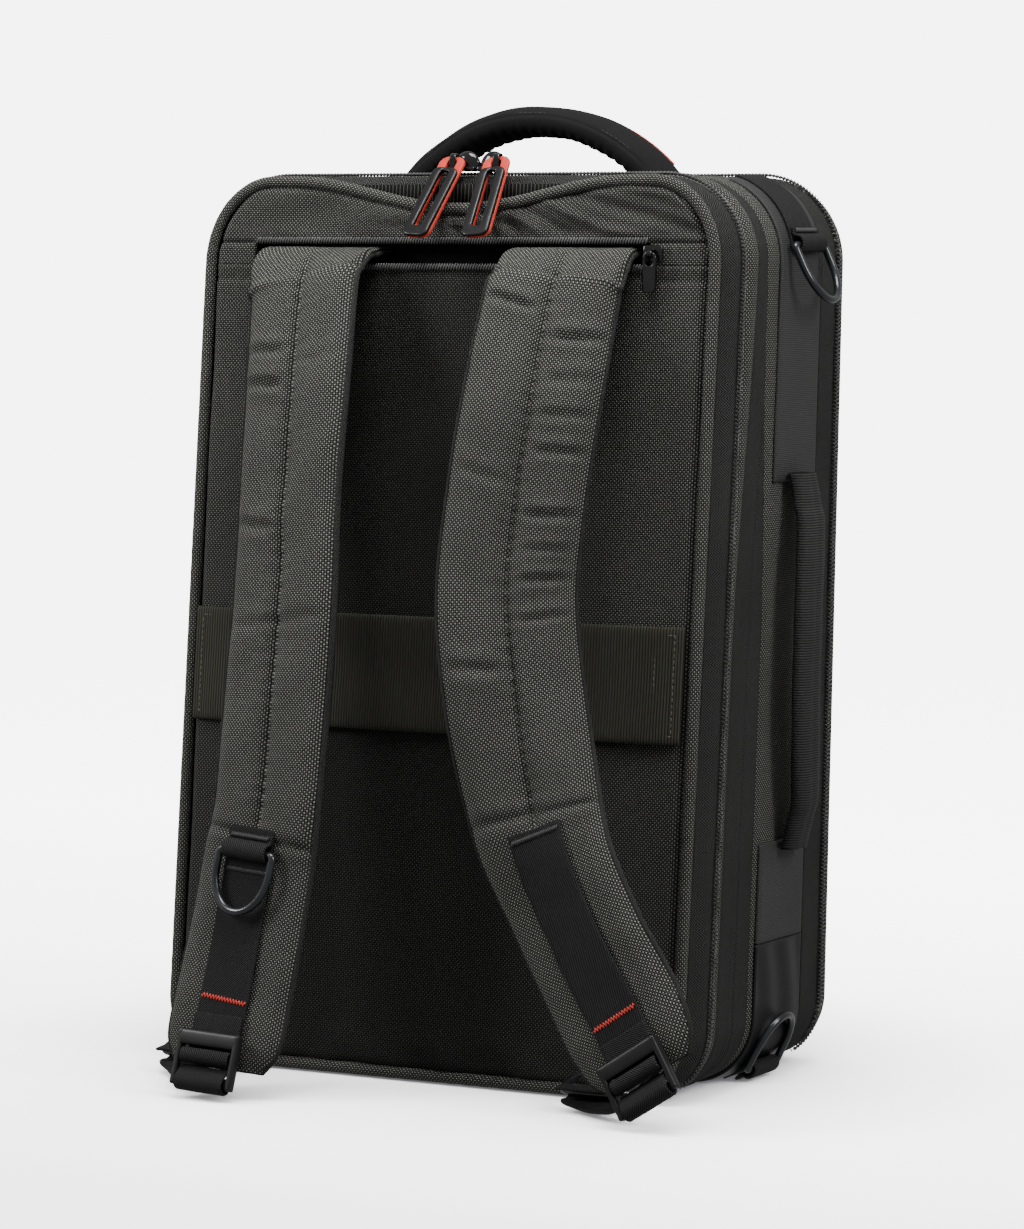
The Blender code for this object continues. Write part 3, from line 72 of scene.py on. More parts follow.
LAMPS = (
    # name, place, target, width, height, watts
    ("left_lamp", (-0.95, -0.75, 0.95), (-0.05, -0.1, 0.36), 0.35, 0.6, 18.0),
    ("right_lamp", (1.25, -0.15, 0.95), (0.12, 0.0, 0.30), 0.4, 0.7, 15.0),
    ("top_lamp", (0.15, -0.25, 1.35), (0.0, -0.05, 0.4), 0.7, 0.5, 20.0),
)
for lamp_name, place, target, wide, high, watts in LAMPS:
    lamp_data = bpy.data.lights.new(lamp_name, "AREA")
    lamp_data.shape = "RECTANGLE"
    lamp_data.size = wide
    lamp_data.size_y = high
    lamp_data.energy = watts
    lamp = bpy.data.objects.new(lamp_name, lamp_data)
    bpy.context.scene.collection.objects.link(lamp)
    aim(lamp, place, target)

world = bpy.data.worlds.new("surround")
world.use_nodes = True
background = world.node_tree.nodes["Background"]
background.inputs["Color"].default_value = (1.0, 1.0, 1.0, 1.0)
background.inputs["Strength"].default_value = 0.48
bpy.context.scene.world = world


class Term:
    """A number in a material that can be used in plain arithmetic."""

    def __init__(self, tree, socket):
        self.tree = tree
        self.socket = socket

    def math(self, operation, *others):
        """One Math node with this term first."""
        node = self.tree.nodes.new("ShaderNodeMath")
        node.operation = operation
        for entry, value in zip(node.inputs, (self, *others)):
            if isinstance(value, Term):
                self.tree.links.new(value.socket, entry)
            else:
                entry.default_value = value
        return Term(self.tree, node.outputs[0])

    def number(self, value):
        """A plain number as a term, for an operation that has it first."""
        node = self.tree.nodes.new("ShaderNodeValue")
        node.outputs[0].default_value = value
        return Term(self.tree, node.outputs[0])

    def __add__(self, other):
        return self.math("ADD", other)

    def __radd__(self, other):
        return self.math("ADD", other)

    def __sub__(self, other):
        return self.math("SUBTRACT", other)

    def __rsub__(self, other):
        return self.number(other).math("SUBTRACT", self)

    def __mul__(self, other):
        return self.math("MULTIPLY", other)

    def __rmul__(self, other):
        return self.math("MULTIPLY", other)

    def __truediv__(self, other):
        return self.math("DIVIDE", other)

    def __pow__(self, other):
        return self.math("POWER", other)

    def __abs__(self):
        return self.math("ABSOLUTE")

    def sin(self):
        return self.math("SINE")

    def clamp(self):
        """Held between 0 and 1."""
        return self.math("MAXIMUM", 0.0).math("MINIMUM", 1.0)


class Finish:
    """A material with one Principled shader, and short calls for its other nodes."""

    def __init__(self, name, rough=0.7, metal=0.0, coat=0.0, specular=0.4):
        self.material = bpy.data.materials.new(name)
        self.material.use_nodes = True
        self.tree = self.material.node_tree
        self.shader = self.tree.nodes["Principled BSDF"]
        self.shader.inputs["Roughness"].default_value = rough
        self.shader.inputs["Metallic"].default_value = metal
        self.shader.inputs["Coat Weight"].default_value = coat
        self.shader.inputs["Specular IOR Level"].default_value = specular

    def node(self, kind, settings=None, sockets=None, output=0):
        """Adds a node, sets it up, then its sockets, and returns the output asked for."""
        node = self.tree.nodes.new(kind)
        for key, value in (settings or {}).items():
            setattr(node, key, value)
        for key, value in (sockets or {}).items():
            if isinstance(value, Term):
                self.tree.links.new(value.socket, node.inputs[key])
            else:
                node.inputs[key].default_value = value
        return Term(self.tree, node.outputs[output])

    def split(self, place):
        """The three numbers of a place as terms."""
        node = self.tree.nodes.new("ShaderNodeSeparateXYZ")
        self.tree.links.new(place.socket, node.inputs[0])
        return [Term(self.tree, output) for output in node.outputs]

    def cloth_place(self):
        """Across and along the cloth in metres, from the piece's own map."""
        return self.split(self.node("ShaderNodeUVMap", {"uv_map": "cloth"}))[:2]

    def own_place(self):
        """Place in the piece's own space, in metres."""
        return self.node("ShaderNodeTexCoord", output=3)

    def noise(self, scale, detail=2.0, low=0.0, high=1.0):
        """Soft noise over the object, spread from low to high."""
        term = self.node("ShaderNodeTexNoise", None,
                         {"Vector": self.own_place(), "Scale": scale, "Detail": detail})
        return term * (high - low) + low

    def blend(self, share, first, second):
        """A colour between two, by a share from 0 to 1."""
        node = self.tree.nodes.new("ShaderNodeMix")
        node.data_type = "RGBA"
        self.tree.links.new(share.socket, node.inputs[0])
        for entry, value in ((node.inputs[6], first), (node.inputs[7], second)):
            if isinstance(value, Term):
                self.tree.links.new(value.socket, entry)
            else:
                entry.default_value = (*value, 1.0)
        return Term(self.tree, node.outputs[2])

    def colour(self, value):
        if isinstance(value, Term):
            self.tree.links.new(value.socket, self.shader.inputs["Base Color"])
        else:
            self.shader.inputs["Base Color"].default_value = (*value, 1.0)

    def roughness(self, term):
        self.tree.links.new(term.socket, self.shader.inputs["Roughness"])

    def relief(self, height, depth, strength=1.0):
        """Bump from a height of 0 to 1, which stands for a depth in metres."""
        normal = self.node("ShaderNodeBump", None,
                           {"Strength": strength, "Distance": depth, "Height": height})
        self.tree.links.new(normal.socket, self.shader.inputs["Normal"])


# The floor bends up into a backdrop behind the bag. It glows as painted light, brighter
# towards the back, with a painted shadow where ambient occlusion dims the glow near the bag,
# so it stays white while the bag keeps its own shading.
FLOOR_GLOW = 6.0
SHADE_REACH = 0.16
floor_finish = Finish("pale_floor", rough=0.9, specular=0.1)
floor_finish.colour(floor_finish.blend(floor_finish.noise(3.0), (0.93, 0.93, 0.93),
                                       (0.95, 0.95, 0.95)))
# Painted light: the floor's glow grows towards the back.
painted_light_far_back = ((floor_finish.split(floor_finish.own_place())[1] + 0.35) * 0.9).clamp()
# Painted shadow: ambient occlusion darkens the glow near the bag.
ao_painted_shadow = floor_finish.node("ShaderNodeAmbientOcclusion", output="AO")
ao_painted_shadow.socket.node.inputs["Distance"].default_value = SHADE_REACH
floor_glow = floor_finish.blend((painted_light_far_back ** 0.8 * 0.7 + 0.3) * ao_painted_shadow ** 1.6,
                                (0.02, 0.02, 0.022), (1.0, 1.0, 1.0))
floor_finish.tree.links.new(floor_glow.socket, floor_finish.shader.inputs["Emission Color"])
floor_finish.shader.inputs["Emission Strength"].default_value = FLOOR_GLOW
BEND_Y, BEND_RADIUS = 5.0, 2.0
BACKDROP_TOP, FLOOR_HALF = 9.0, 12.0
bend = np.linspace(0, math.pi / 2, 24)
level_y = np.concatenate([[-9, -2, -0.5, 0.05], np.linspace(0.3, BEND_Y, 20)])
sweep_y = np.concatenate([level_y, BEND_Y + BEND_RADIUS * np.sin(bend), [BEND_Y + BEND_RADIUS]])
sweep_z = np.concatenate([0 * level_y, BEND_RADIUS * (1 - np.cos(bend)), [BACKDROP_TOP]])
floor_spots = [(x, y, z) for y, z in zip(sweep_y, sweep_z) for x in (-FLOOR_HALF, FLOOR_HALF)]
floor_faces = [(2 * k, 2 * k + 1, 2 * k + 3, 2 * k + 2) for k in range(len(sweep_y) - 1)]
floor_mesh = bpy.data.meshes.new("floor")
floor_mesh.from_pydata(floor_spots, [], floor_faces)
floor_mesh.materials.append(floor_finish.material)
floor = bpy.data.objects.new("floor", floor_mesh)
bpy.context.scene.collection.objects.link(floor)
floor.visible_diffuse = False
floor.visible_glossy = False


# The bag's cloth body. Back panel, zip tapes, side cloth and front cover are cut from nylon and
# sewn edge to edge along one rounded outline; the back rim dips at the middle of its top edge.
BODY_WIDTH = 296 * MM
BODY_HEIGHT = 438 * MM
BASE_DEPTH = 165 * MM
HALF_WIDTH = BODY_WIDTH / 2
TOP_RADIUS = 42 * MM
BOTTOM_RADIUS = 32 * MM
BACK_LEAN = 0.10
DEPTH_TAPER = 0.156
BASE_Z = 1.8 * MM
EDGE_SHARE = 0.3               # top and bottom edges are set in less than the sides
MIDDLE_Z = (BODY_HEIGHT + BASE_Z) / 2
HALF_HEIGHT = (BODY_HEIGHT - BASE_Z) / 2
DIP = 13.5 * MM
DIP_HALF = 95 * MM
BASE_HALF = HALF_WIDTH - BOTTOM_RADIUS
CORNER_END = BASE_HALF + BOTTOM_RADIUS * math.pi / 2
SIDE_END = CORNER_END + BODY_HEIGHT - BASE_Z - BOTTOM_RADIUS - TOP_RADIUS
SHOULDER_END = SIDE_END + TOP_RADIUS * math.pi / 2
HALF_ROUND = SHOULDER_END + HALF_WIDTH - TOP_RADIUS


def body_y(depth, z):
    """Y of a depth at a height: the back leans forward and the depth tapers upwards."""
    return BACK_LEAN * z + depth * (1 - DEPTH_TAPER * z / BODY_HEIGHT) - BASE_DEPTH / 2


def ramp(value, low, high):
    """0 below low and 1 above high, with level ends."""
    share = np.clip((value - low) / (high - low), 0, 1)
    return share * share * (3 - 2 * share)


def place_on_bag(x, depth, z):
    """World points from across, depth and height, with the back rim's dip taken off."""
    across = np.cos(math.pi / 2 * np.minimum(np.abs(x) / DIP_HALF, 1)) ** 2
    fade = 1 - np.clip((depth - 8 * MM) / (7.5 * MM), 0, 1)
    z = z - DIP * across * fade * ramp(z, 409.5 * MM, 433 * MM)
    return np.stack(np.broadcast_arrays(x, body_y(depth, z), z), axis=-1)


def half_run(s):
    """s counted from the base's middle on either side."""
    return np.where(s > HALF_ROUND, 2 * HALF_ROUND - s, s)


def outline(s):
    """Point and outward normal at s: base, lower corner, side, shoulder, top, then mirrored."""
    s = np.asarray(s, float)
    t = half_run(s)
    low = np.clip(t - BASE_HALF, 0, CORNER_END - BASE_HALF) / BOTTOM_RADIUS
    high = np.clip(t - SIDE_END, 0, SHOULDER_END - SIDE_END) / TOP_RADIUS
    x = np.clip(t, -1, BASE_HALF) + BOTTOM_RADIUS * np.sin(low)
    x = x - TOP_RADIUS * (1 - np.cos(high)) - np.clip(t - SHOULDER_END, 0, None)
    z = BASE_Z + BOTTOM_RADIUS * (1 - np.cos(low)) + TOP_RADIUS * np.sin(high)
    z = z + np.clip(t - CORNER_END, 0, SIDE_END - CORNER_END)
    angle = low + high
    flip = np.where(s > HALF_ROUND, -1.0, 1.0)
    return x * flip, z, np.sin(angle) * flip, -np.cos(angle)


def on_body(s, depth, inset=0.0, lift=0.0):
    """World points on the body's side at s and a depth, moved in by the inset and out by lift."""
    x, z, nx, nz = outline(s)
    x = x - nx * (inset - lift)
    z = z - nz * (inset * EDGE_SHARE - lift)
    return place_on_bag(x, depth, z)


def side_s(z):
    """s of the right side at a height."""
    if z > BODY_HEIGHT - TOP_RADIUS:
        return SIDE_END + TOP_RADIUS * math.asin((z - BODY_HEIGHT + TOP_RADIUS) / TOP_RADIUS)
    if z < BASE_Z + BOTTOM_RADIUS:
        return BASE_HALF + BOTTOM_RADIUS * math.acos((BASE_Z + BOTTOM_RADIUS - z) / BOTTOM_RADIUS)
    return CORNER_END + z - BASE_Z - BOTTOM_RADIUS


def wander(a, b, size, seed, terms=7):
    """Soft random relief from -1 to 1: a sum of waves of about one size in all directions."""
    rng = np.random.default_rng(seed)
    total = 0
    for turn, shift, stretch in zip(rng.uniform(0, math.pi, terms), rng.uniform(0, 6.28, terms),
                                    rng.uniform(0.7, 1.5, terms)):
        wave = (a * math.cos(turn) + b * math.sin(turn)) * 2 * math.pi / (size * stretch)
        total = total + np.sin(wave + shift)
    return total / terms ** 0.5 / 1.6


def circle(count):
    """Angles right round, as one row."""
    return np.linspace(0, 2 * math.pi, count, endpoint=False)[None, :]


def unit(vectors):
    return vectors / np.linalg.norm(vectors, axis=-1, keepdims=True)


def run_along(points):
    """Distance along a path at each of its points, from 0."""
    steps = np.linalg.norm(np.diff(points, axis=0), axis=1)
    return np.concatenate([[0], np.cumsum(steps)])


def read_along(places, run, values):
    """Rows of values between those given along a run, at the places asked for."""
    return np.stack([np.interp(places, run, column) for column in values.T], -1)


def both_faces(grid, shift=0.0):
    """Values across a sheet's outer face, then back across its under face."""
    return np.concatenate([grid, grid[:, ::-1] + shift], 1)


def turn_outward(piece):
    """Turns every face outwards if the closed mesh's signed volume is negative."""
    mesh = piece.data
    mesh.calc_loop_triangles()
    count = len(mesh.loop_triangles)
    corners = np.empty(count * 3, np.int32)
    mesh.loop_triangles.foreach_get("vertices", corners)
    spots = np.empty(len(mesh.vertices) * 3)
    mesh.vertices.foreach_get("co", spots)
    a, b, c = np.moveaxis(spots.reshape(-1, 3)[corners.reshape(-1, 3)], 1, 0)
    if np.einsum("ij,ij->", a, np.cross(b, c)) < 0:
        mesh.flip_normals()


def smooth_piece(name, mesh, finish):
    """An object of a closed mesh, shaded smooth, with a material and its faces outwards."""
    mesh.polygons.foreach_set("use_smooth", [True] * len(mesh.polygons))
    mesh.materials.append(finish.material)
    piece = bpy.data.objects.new(name, mesh)
    bpy.context.scene.collection.objects.link(piece)
    turn_outward(piece)
    return piece


def surface(name, points, finish, along=False, uv=None, caps=False):
    """A mesh from a grid of points (rows, columns, xyz).

    The last column joins the first. along joins the last row to the first, and caps closes
    the two end rows with a face each. uv: (u, v) grids in metres for the cloth map.
    """
    rows, columns = points.shape[:2]
    index = np.arange(rows * columns).reshape(rows, columns)
    grid = np.concatenate([index, index[:, :1]], 1)
    if along:
        grid = np.concatenate([grid, grid[:1]], 0)
    quads = np.stack([grid[:-1, :-1], grid[:-1, 1:], grid[1:, 1:], grid[1:, :-1]], -1)
    quads = quads.reshape(-1, 4)
    faces = quads.tolist()
    if caps:
        faces.append(index[0][::-1].tolist())
        faces.append(index[-1].tolist())
    mesh = bpy.data.meshes.new(name)
    mesh.from_pydata(points.reshape(-1, 3).tolist(), [], faces)
    if uv is not None:
        u, v = (np.broadcast_to(part, (rows, columns)) for part in uv)
        flat = np.stack([u, v], -1)
        step = 2 * flat[:, -1:] - flat[:, -2:-1]
        flat = np.concatenate([flat, step], 1)
        if along:
            step = 2 * flat[-1:] - flat[-2:-1]
            flat = np.concatenate([flat, step], 0)
        corners = np.stack([flat[:-1, :-1], flat[:-1, 1:], flat[1:, 1:], flat[1:, :-1]], 2)
        corners = corners.reshape(-1, 2)
        if caps:
            ends = [flat[0, :columns][::-1], flat[-1, :columns]]
            corners = np.concatenate([corners] + ends)
        layer = mesh.uv_layers.new(name="cloth")
        layer.data.foreach_set("uv", corners.ravel())
    return smooth_piece(name, mesh, finish)


def dress(piece, slot, *nodes, body="bag"):
    """Rides on a body and stands for the CAD nodes it replaces, which it hides. The slot is not
    used.
    """
    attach(piece, body)
    if nodes:
        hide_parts(*nodes)
    return piece


def weave(name, dark, light, pitch, depth, rough=0.75, painted_shade=None):
    """Ballistic weave: paired threads cross over and under, and each crossing's top is painted
    paler, a painted highlight.

    sin(u) sin(v) says which thread is on top in a cell; the bump is long across it. The last
    argument, if given, is painted shade that darkens the colour.
    """
    finish = Finish(name, rough=rough, specular=0.12)
    u, v = finish.cloth_place()
    wave_u = (u * (math.pi / pitch)).sin()
    wave_v = (v * (math.pi / pitch)).sin()
    over = (wave_u * wave_v * 3.0 + 0.5).clamp()
    ridge_u, ridge_v = abs(wave_u), abs(wave_v)
    warp = ridge_u * ridge_v ** 0.5
    weft = ridge_v * ridge_u ** 0.5
    height = over * warp + (1 - over) * weft * 0.75
    # Painted highlight: the top of each crossing is painted paler.
    shade = height ** 2.4 * (over * 0.58 + 0.42)
    patches_and_painted_shade = finish.noise(9.0, 3.0, 0.75, 1.15)
    # Where given, painted shade darkens the colour as well.
    if painted_shade:
        patches_and_painted_shade = patches_and_painted_shade * painted_shade(finish)
    finish.colour(finish.blend((shade * patches_and_painted_shade).clamp(), dark, light))
    finish.relief(height, depth)
    finish.roughness(finish.noise(40.0, 2.0, rough - 0.1, rough + 0.1))
    return finish


WEAVE_PITCH = 1.02 * MM
WEAVE_DEPTH = 0.42 * MM
WEAVE_DARK = (0.0020, 0.0020, 0.0018)
charcoal_weave = weave("charcoal_weave", WEAVE_DARK, (0.300, 0.301, 0.268), WEAVE_PITCH,
                       WEAVE_DEPTH)


BAND_WALL = 2.2 * MM


def band(name, start, end, finish, lift, columns=420, rows=14, inset=None):
    """A closed cloth band right round the body.

    start, end: depths as functions of s. lift(s, t): outward relief at share t of its width.
    inset(t): how far the edge is set in. The inner skin lies one wall under the outer one.
    """
    s = np.linspace(0, 2 * HALF_ROUND, columns, endpoint=False)[:, None]
    t = np.linspace(0, 1, rows)[None, :]
    depth = start(s) + (end(s) - start(s)) * t
    dip = inset(t) if inset else 0.0
    outer = on_body(s, depth, dip, lift(s, t))
    few = np.array([rows - 1, rows // 2, 0])
    inner_dip = dip[:, few] if inset else 0.0
    inner = on_body(s, depth[:, few], inner_dip, np.full_like(depth[:, few], -BAND_WALL))
    across = np.concatenate([depth, depth[:, few] + 2 * BAND_WALL], 1)
    return surface(name, np.concatenate([outer, inner], 1), finish, along=True,
                   uv=(across, s))


# Piping: a cord wrapped in the charcoal nylon and sewn round the back panel, a little gathered.
s = np.linspace(0, 2 * HALF_ROUND, 620, endpoint=False)[:, None]
turn = circle(18)
CORD_RADIUS = 3.0 * MM
GATHER_PITCH = 9.66 * MM
gathers = 0.05 * MM * np.sin(s / GATHER_PITCH * 2 * math.pi + 2 * np.sin(s * 31))
cord = CORD_RADIUS + gathers + 0.06 * MM * wander(s, turn * 4 * MM, 14 * MM, 3)
piping = surface("back_piping_cloth",
                 on_body(s, 2 * MM + cord * np.cos(turn), 7 * MM, cord * np.sin(turn)),
                 charcoal_weave, along=True, uv=(turn * CORD_RADIUS, s))
dress(piping, "charcoal_cloth", "back_piping")


# Zip tapes: black polyester tape in a fine herringbone, beside each zip's coils. Between the
# laptop zip and the expansion tape runs a strip of the bag's nylon, widest at the shoulders.
def herringbone(name, dark, light, pitch, arm, depth, rough=0.8, crosswise=False):
    """Chevrons: fine ribs that slope one way, then the other, every arm's width."""
    finish = Finish(name, rough=rough, specular=0.10)
    u, v = finish.cloth_place()
    if crosswise:
        u, v = v, u
    zigzag = abs((u / arm).math("PINGPONG", 1.0)) * arm
    rib = abs(((v + zigzag) * (math.pi / pitch)).sin())
    cross = abs((u * (math.pi / (0.45 * MM))).sin())
    height = rib * (cross * 0.3 + 0.7)
    # Painted highlight: the ribs' tops are painted paler than their sides.
    finish.colour(finish.blend(height ** 2 * finish.noise(14.0, 2.0, 0.6, 1.2), dark, light))
    finish.relief(height, depth)
    return finish


tape_cloth = herringbone("zip_tape", (0.0015, 0.0015, 0.0015), (0.062, 0.062, 0.060),
                         1.3 * MM, 3.3 * MM, 0.45 * MM, crosswise=True)


def shoulder(s):
    """1 at the two shoulders' upper sides, fading down the sides and over the top."""
    t = half_run(s)
    return ramp(t, SIDE_END - 190 * MM, SIDE_END + 10 * MM) * (
        1 - ramp(t, SHOULDER_END + 5 * MM, SHOULDER_END + 60 * MM))


def strip_end(s):
    """Depth where the strip ends: deeper at the shoulders."""
    return 28 * MM + 12 * MM * shoulder(s)


def expansion_end(s):
    """Depth where the expansion tape ends: nearer the back at the shoulders."""
    return 62 * MM - 10 * MM * shoulder(s)


def fixed(depth):
    """A depth that is the same all the way round."""
    return lambda s: depth + 0 * s


def tape_lift(s, t):
    """Pulled down beside the piping and towards the coils, with slow waves."""
    return 0.5 * MM * np.sin(math.pi * t) + 0.3 * MM * wander(s, t * 20 * MM, 40 * MM, 5)


laptop_tape = band("laptop_zip_tape", fixed(5.6 * MM), fixed(18.9 * MM), tape_cloth, tape_lift,
                   inset=lambda t: 5 * MM * (1 - ramp(t, 0, 0.75)))
dress(laptop_tape, "black_cloth", "laptop_tape_band")


def strip_lift(s, t):
    """A soft roll between two seams, with small puckers along the seams."""
    roll = np.sin(math.pi * np.clip((t - 0.35) / 0.65, 0, 1)) ** 0.7
    pucker = wander(s, t * 8 * MM, 16 * MM, 11) * (1 - np.abs(2 * t - 1)) * 0.25 * MM
    return (0.5 + 1.0 * shoulder(s)) * MM * roll - 0.7 * MM * (1 - roll) + pucker


grey_strip = band("side_strip_cloth", fixed(19.1 * MM), strip_end, charcoal_weave, strip_lift,
                  rows=16)
dress(grey_strip, "charcoal_cloth", "grey_strip_band")


def expansion_lift(s, t):
    """A flat tape with the turned-over coil's ridge, a groove beside it, and slow folds."""
    width = expansion_end(s) - strip_end(s)
    d = t * width
    ridge = np.exp(-((d - 13.5 * MM) / (1.7 * MM)) ** 2)
    groove = np.exp(-((d - 17.5 * MM) / (0.7 * MM)) ** 2)
    edge = np.exp(-(d / (1.6 * MM)) ** 2) + np.exp(-((width - d) / (1.6 * MM)) ** 2)
    slow = wander(s, d, 55 * MM, 17) * 0.5 * MM * np.sin(math.pi * t)
    return (0.75 * ridge - 0.8 * groove - 0.7 * edge) * MM + slow


expansion_tape = band("expansion_zip_tape", strip_end, expansion_end, tape_cloth,
                      expansion_lift, rows=32, columns=440)
dress(expansion_tape, "black_cloth", "expansion_tape_band")


def gusset_lift(s, t):
    """Side cloth: rounder near the seams, with loose upright folds low on the sides."""
    up = half_run(s)
    low = ramp(up, BASE_HALF, CORNER_END + 30 * MM) * (
        1 - ramp(up, CORNER_END + 60 * MM, CORNER_END + 190 * MM))
    folds = np.sin(t * 13 + 3 * np.sin(s * 21)) * 0.6 * MM * low
    edge = np.exp(-(t / 0.045) ** 2) + np.exp(-((1 - t) / 0.045) ** 2)
    slow = wander(s, t * 60 * MM, 70 * MM, 23) * 0.6 * MM * np.sin(math.pi * t)
    return slow + folds * np.sin(math.pi * t) - 0.9 * MM * edge


gusset = band("side_cloth", expansion_end, fixed(119.9 * MM), charcoal_weave, gusset_lift,
              rows=30, columns=420)
dress(gusset, "charcoal_cloth", "side_gusset")
main_tape = band("main_zip_tape", fixed(120.1 * MM), fixed(139.9 * MM), tape_cloth, tape_lift,
                 rows=12)
dress(main_tape, "black_cloth", "main_tape_band")


# Zip coils: two rows of nylon turns that meet at the middle, sewn on the tapes' edges.
def moulded(name, base, edge, rough, coat=0.0, grain=900.0, depth=0.06 * MM, metal=0.0,
            specular=0.4):
    """Plastic or coated metal: a fine grain, a little paler in patches."""
    finish = Finish(name, rough=rough, coat=coat, metal=metal, specular=specular)
    finish.colour(finish.blend(finish.noise(60.0, 4.0, 0.0, 1.0) ** 2, base, edge))
    finish.roughness(finish.noise(35.0, 3.0, rough * 0.75, rough * 1.25))
    if depth:
        finish.relief(finish.noise(grain, 2.0), depth, 0.5)
    return finish


coil_plastic = moulded("coil_nylon", (0.030, 0.030, 0.030), (0.105, 0.105, 0.102), 0.50,
                       depth=0, specular=0.4)


def repeat(name, shape, faces, origins, first, second, third, finish):
    """Copies of one small shape in one mesh. shape: local points; the axes: one per copy."""
    spots = (origins[:, None] + shape[None, :, :1] * first[:, None]
             + shape[None, :, 1:2] * second[:, None] + shape[None, :, 2:] * third[:, None])
    count = len(shape)
    shift = (np.arange(len(origins)) * count)[:, None]
    polygons = []
    for face in faces:
        polygons += (shift + np.array(face)[None, :]).tolist()
    mesh = bpy.data.meshes.new(name)
    mesh.from_pydata(spots.reshape(-1, 3).tolist(), [], polygons)
    return smooth_piece(name, mesh, finish)


def bean(length, width, height, slant=0.0, sides=5, rings=4):
    """A small rounded bar along the second axis: an ellipse section that narrows at its ends."""
    turn = circle(sides)
    along = np.linspace(-1, 1, rings)[:, None]
    thick = np.sqrt(1 - (along * 0.86) ** 2)
    points = np.stack([width / 2 * thick * np.cos(turn) + slant * along * length / 2,
                       along * length / 2 + 0 * turn, height / 2 * thick * np.sin(turn)], -1)
    faces = [(r * sides + k, r * sides + (k + 1) % sides, (r + 1) * sides + (k + 1) % sides,
              (r + 1) * sides + k) for r in range(rings - 1) for k in range(sides)]
    faces.append(tuple(range(sides))[::-1])
    faces.append(tuple((rings - 1) * sides + k for k in range(sides)))
    return points.reshape(-1, 3), faces


def body_frame(s, depth, lift):
    """Places on the body with the ways along it, across its depth and off it."""
    spot = on_body(s, depth, 0, lift)
    along = unit(on_body(s + MM, depth, 0, lift) - spot)
    across = unit(on_body(s, depth + MM, 0, lift) - spot)
    return spot, along, across, unit(np.cross(along, across))


COIL_PITCH = 1.9 * MM
COIL_HALF_GAP = 1.2 * MM
chain_from = BASE_HALF + (CORNER_END - BASE_HALF) * 0.4


def coils(name, depth, node):
    """Both rows of a zip's turns, slanted towards each other like a chevron."""
    s = np.arange(chain_from, 2 * HALF_ROUND - chain_from, COIL_PITCH)
    for hand, letter in ((-1, "_a"), (1, "_b")):
        shape, faces = bean(2.0 * MM, 0.85 * MM, 1.9 * MM, slant=hand * 0.5)
        places = body_frame(s + hand * COIL_PITCH / 4, depth + hand * COIL_HALF_GAP, 1.45 * MM)
        dress(repeat(name + letter, shape, faces, *places, coil_plastic), "black_plastic", node)


coils("laptop_zip_coil", 19 * MM, "laptop_zip_chain")
coils("main_zip_coil", 140 * MM, "main_zip_chain")

# Back panel: nylon over foam, sewn in at the piping. A zipped slot across its top lets the
# straps out; the strip above the slot is pulled into soft slanting folds by the straps.
SLOT_LEFT, SLOT_RIGHT = -114 * MM, 107 * MM
SLOT_LOW, SLOT_HIGH = 395.2 * MM, 406.2 * MM
PANEL_INSET = 10.6 * MM


def crown(x, z, height):
    """Height of the panel's cushion, none at its edges."""
    return height * np.clip(1 - (x / HALF_WIDTH) ** 2, 0, 1) * np.clip(
        1 - ((z - MIDDLE_Z) / HALF_HEIGHT) ** 2, 0, 1)


def panel_front(x, z, lift):
    """World points on the back panel's outer face."""
    return place_on_bag(x, -crown(x, z, 6 * MM) - lift, z)


def panel_relief(x, z):
    """Cloth relief: seams at the slot and corners, folds on the top strip, soft cushion."""
    top = ramp(z, SLOT_HIGH + 0.5 * MM, SLOT_HIGH + 7 * MM)
    slant = (x + 1.1 * (z - 0.42)) / (27 * MM) + 0.9 * np.sin(x * 31)
    folds = np.sin(slant * 2 * math.pi) ** 3 * ramp(x, -0.02, 0.04) * 1.6 * MM
    strip = top * (folds + wander(x, z * 1.6, 46 * MM, 31) * 1.1 * MM)
    lower = (1 - top) * wander(x, z, 75 * MM, 37) * 0.7 * MM
    corner = np.exp(-((z - 0.388) / (1.3 * MM)) ** 2) * (
        ramp(x, SLOT_RIGHT - 4 * MM, SLOT_RIGHT + 2 * MM) + ramp(-x, 110 * MM, 116 * MM))
    slot_seam = np.exp(-((z - SLOT_LOW + 4.5 * MM) / (1.2 * MM)) ** 2)
    across_seam = np.exp(-((z - SLOT_HIGH) / (1.2 * MM)) ** 2) * (
        ramp(x, SLOT_RIGHT, SLOT_RIGHT + 3 * MM) + ramp(-x, 114 * MM, 117 * MM))
    bottom = ramp(-z, -0.045, -0.012) * wander(x, z, 25 * MM, 41) * 0.9 * MM
    return strip + lower + bottom - (corner + slot_seam * 0.5 + across_seam) * 1.1 * MM


def panel_half(z):
    """Half of the panel's width at a height, less where its corners are round."""
    half = HALF_WIDTH - PANEL_INSET
    for radius, past in ((TOP_RADIUS, z - BODY_HEIGHT + TOP_RADIUS),
                         (BOTTOM_RADIUS, BASE_Z + BOTTOM_RADIUS - z)):
        half = half + np.sqrt(radius ** 2 - np.clip(past, 0, radius) ** 2) - radius
    return half


PANEL_EDGE = 3.6 * MM
PANEL_LOW = BASE_Z + PANEL_EDGE
PANEL_HIGH = BODY_HEIGHT - PANEL_EDGE


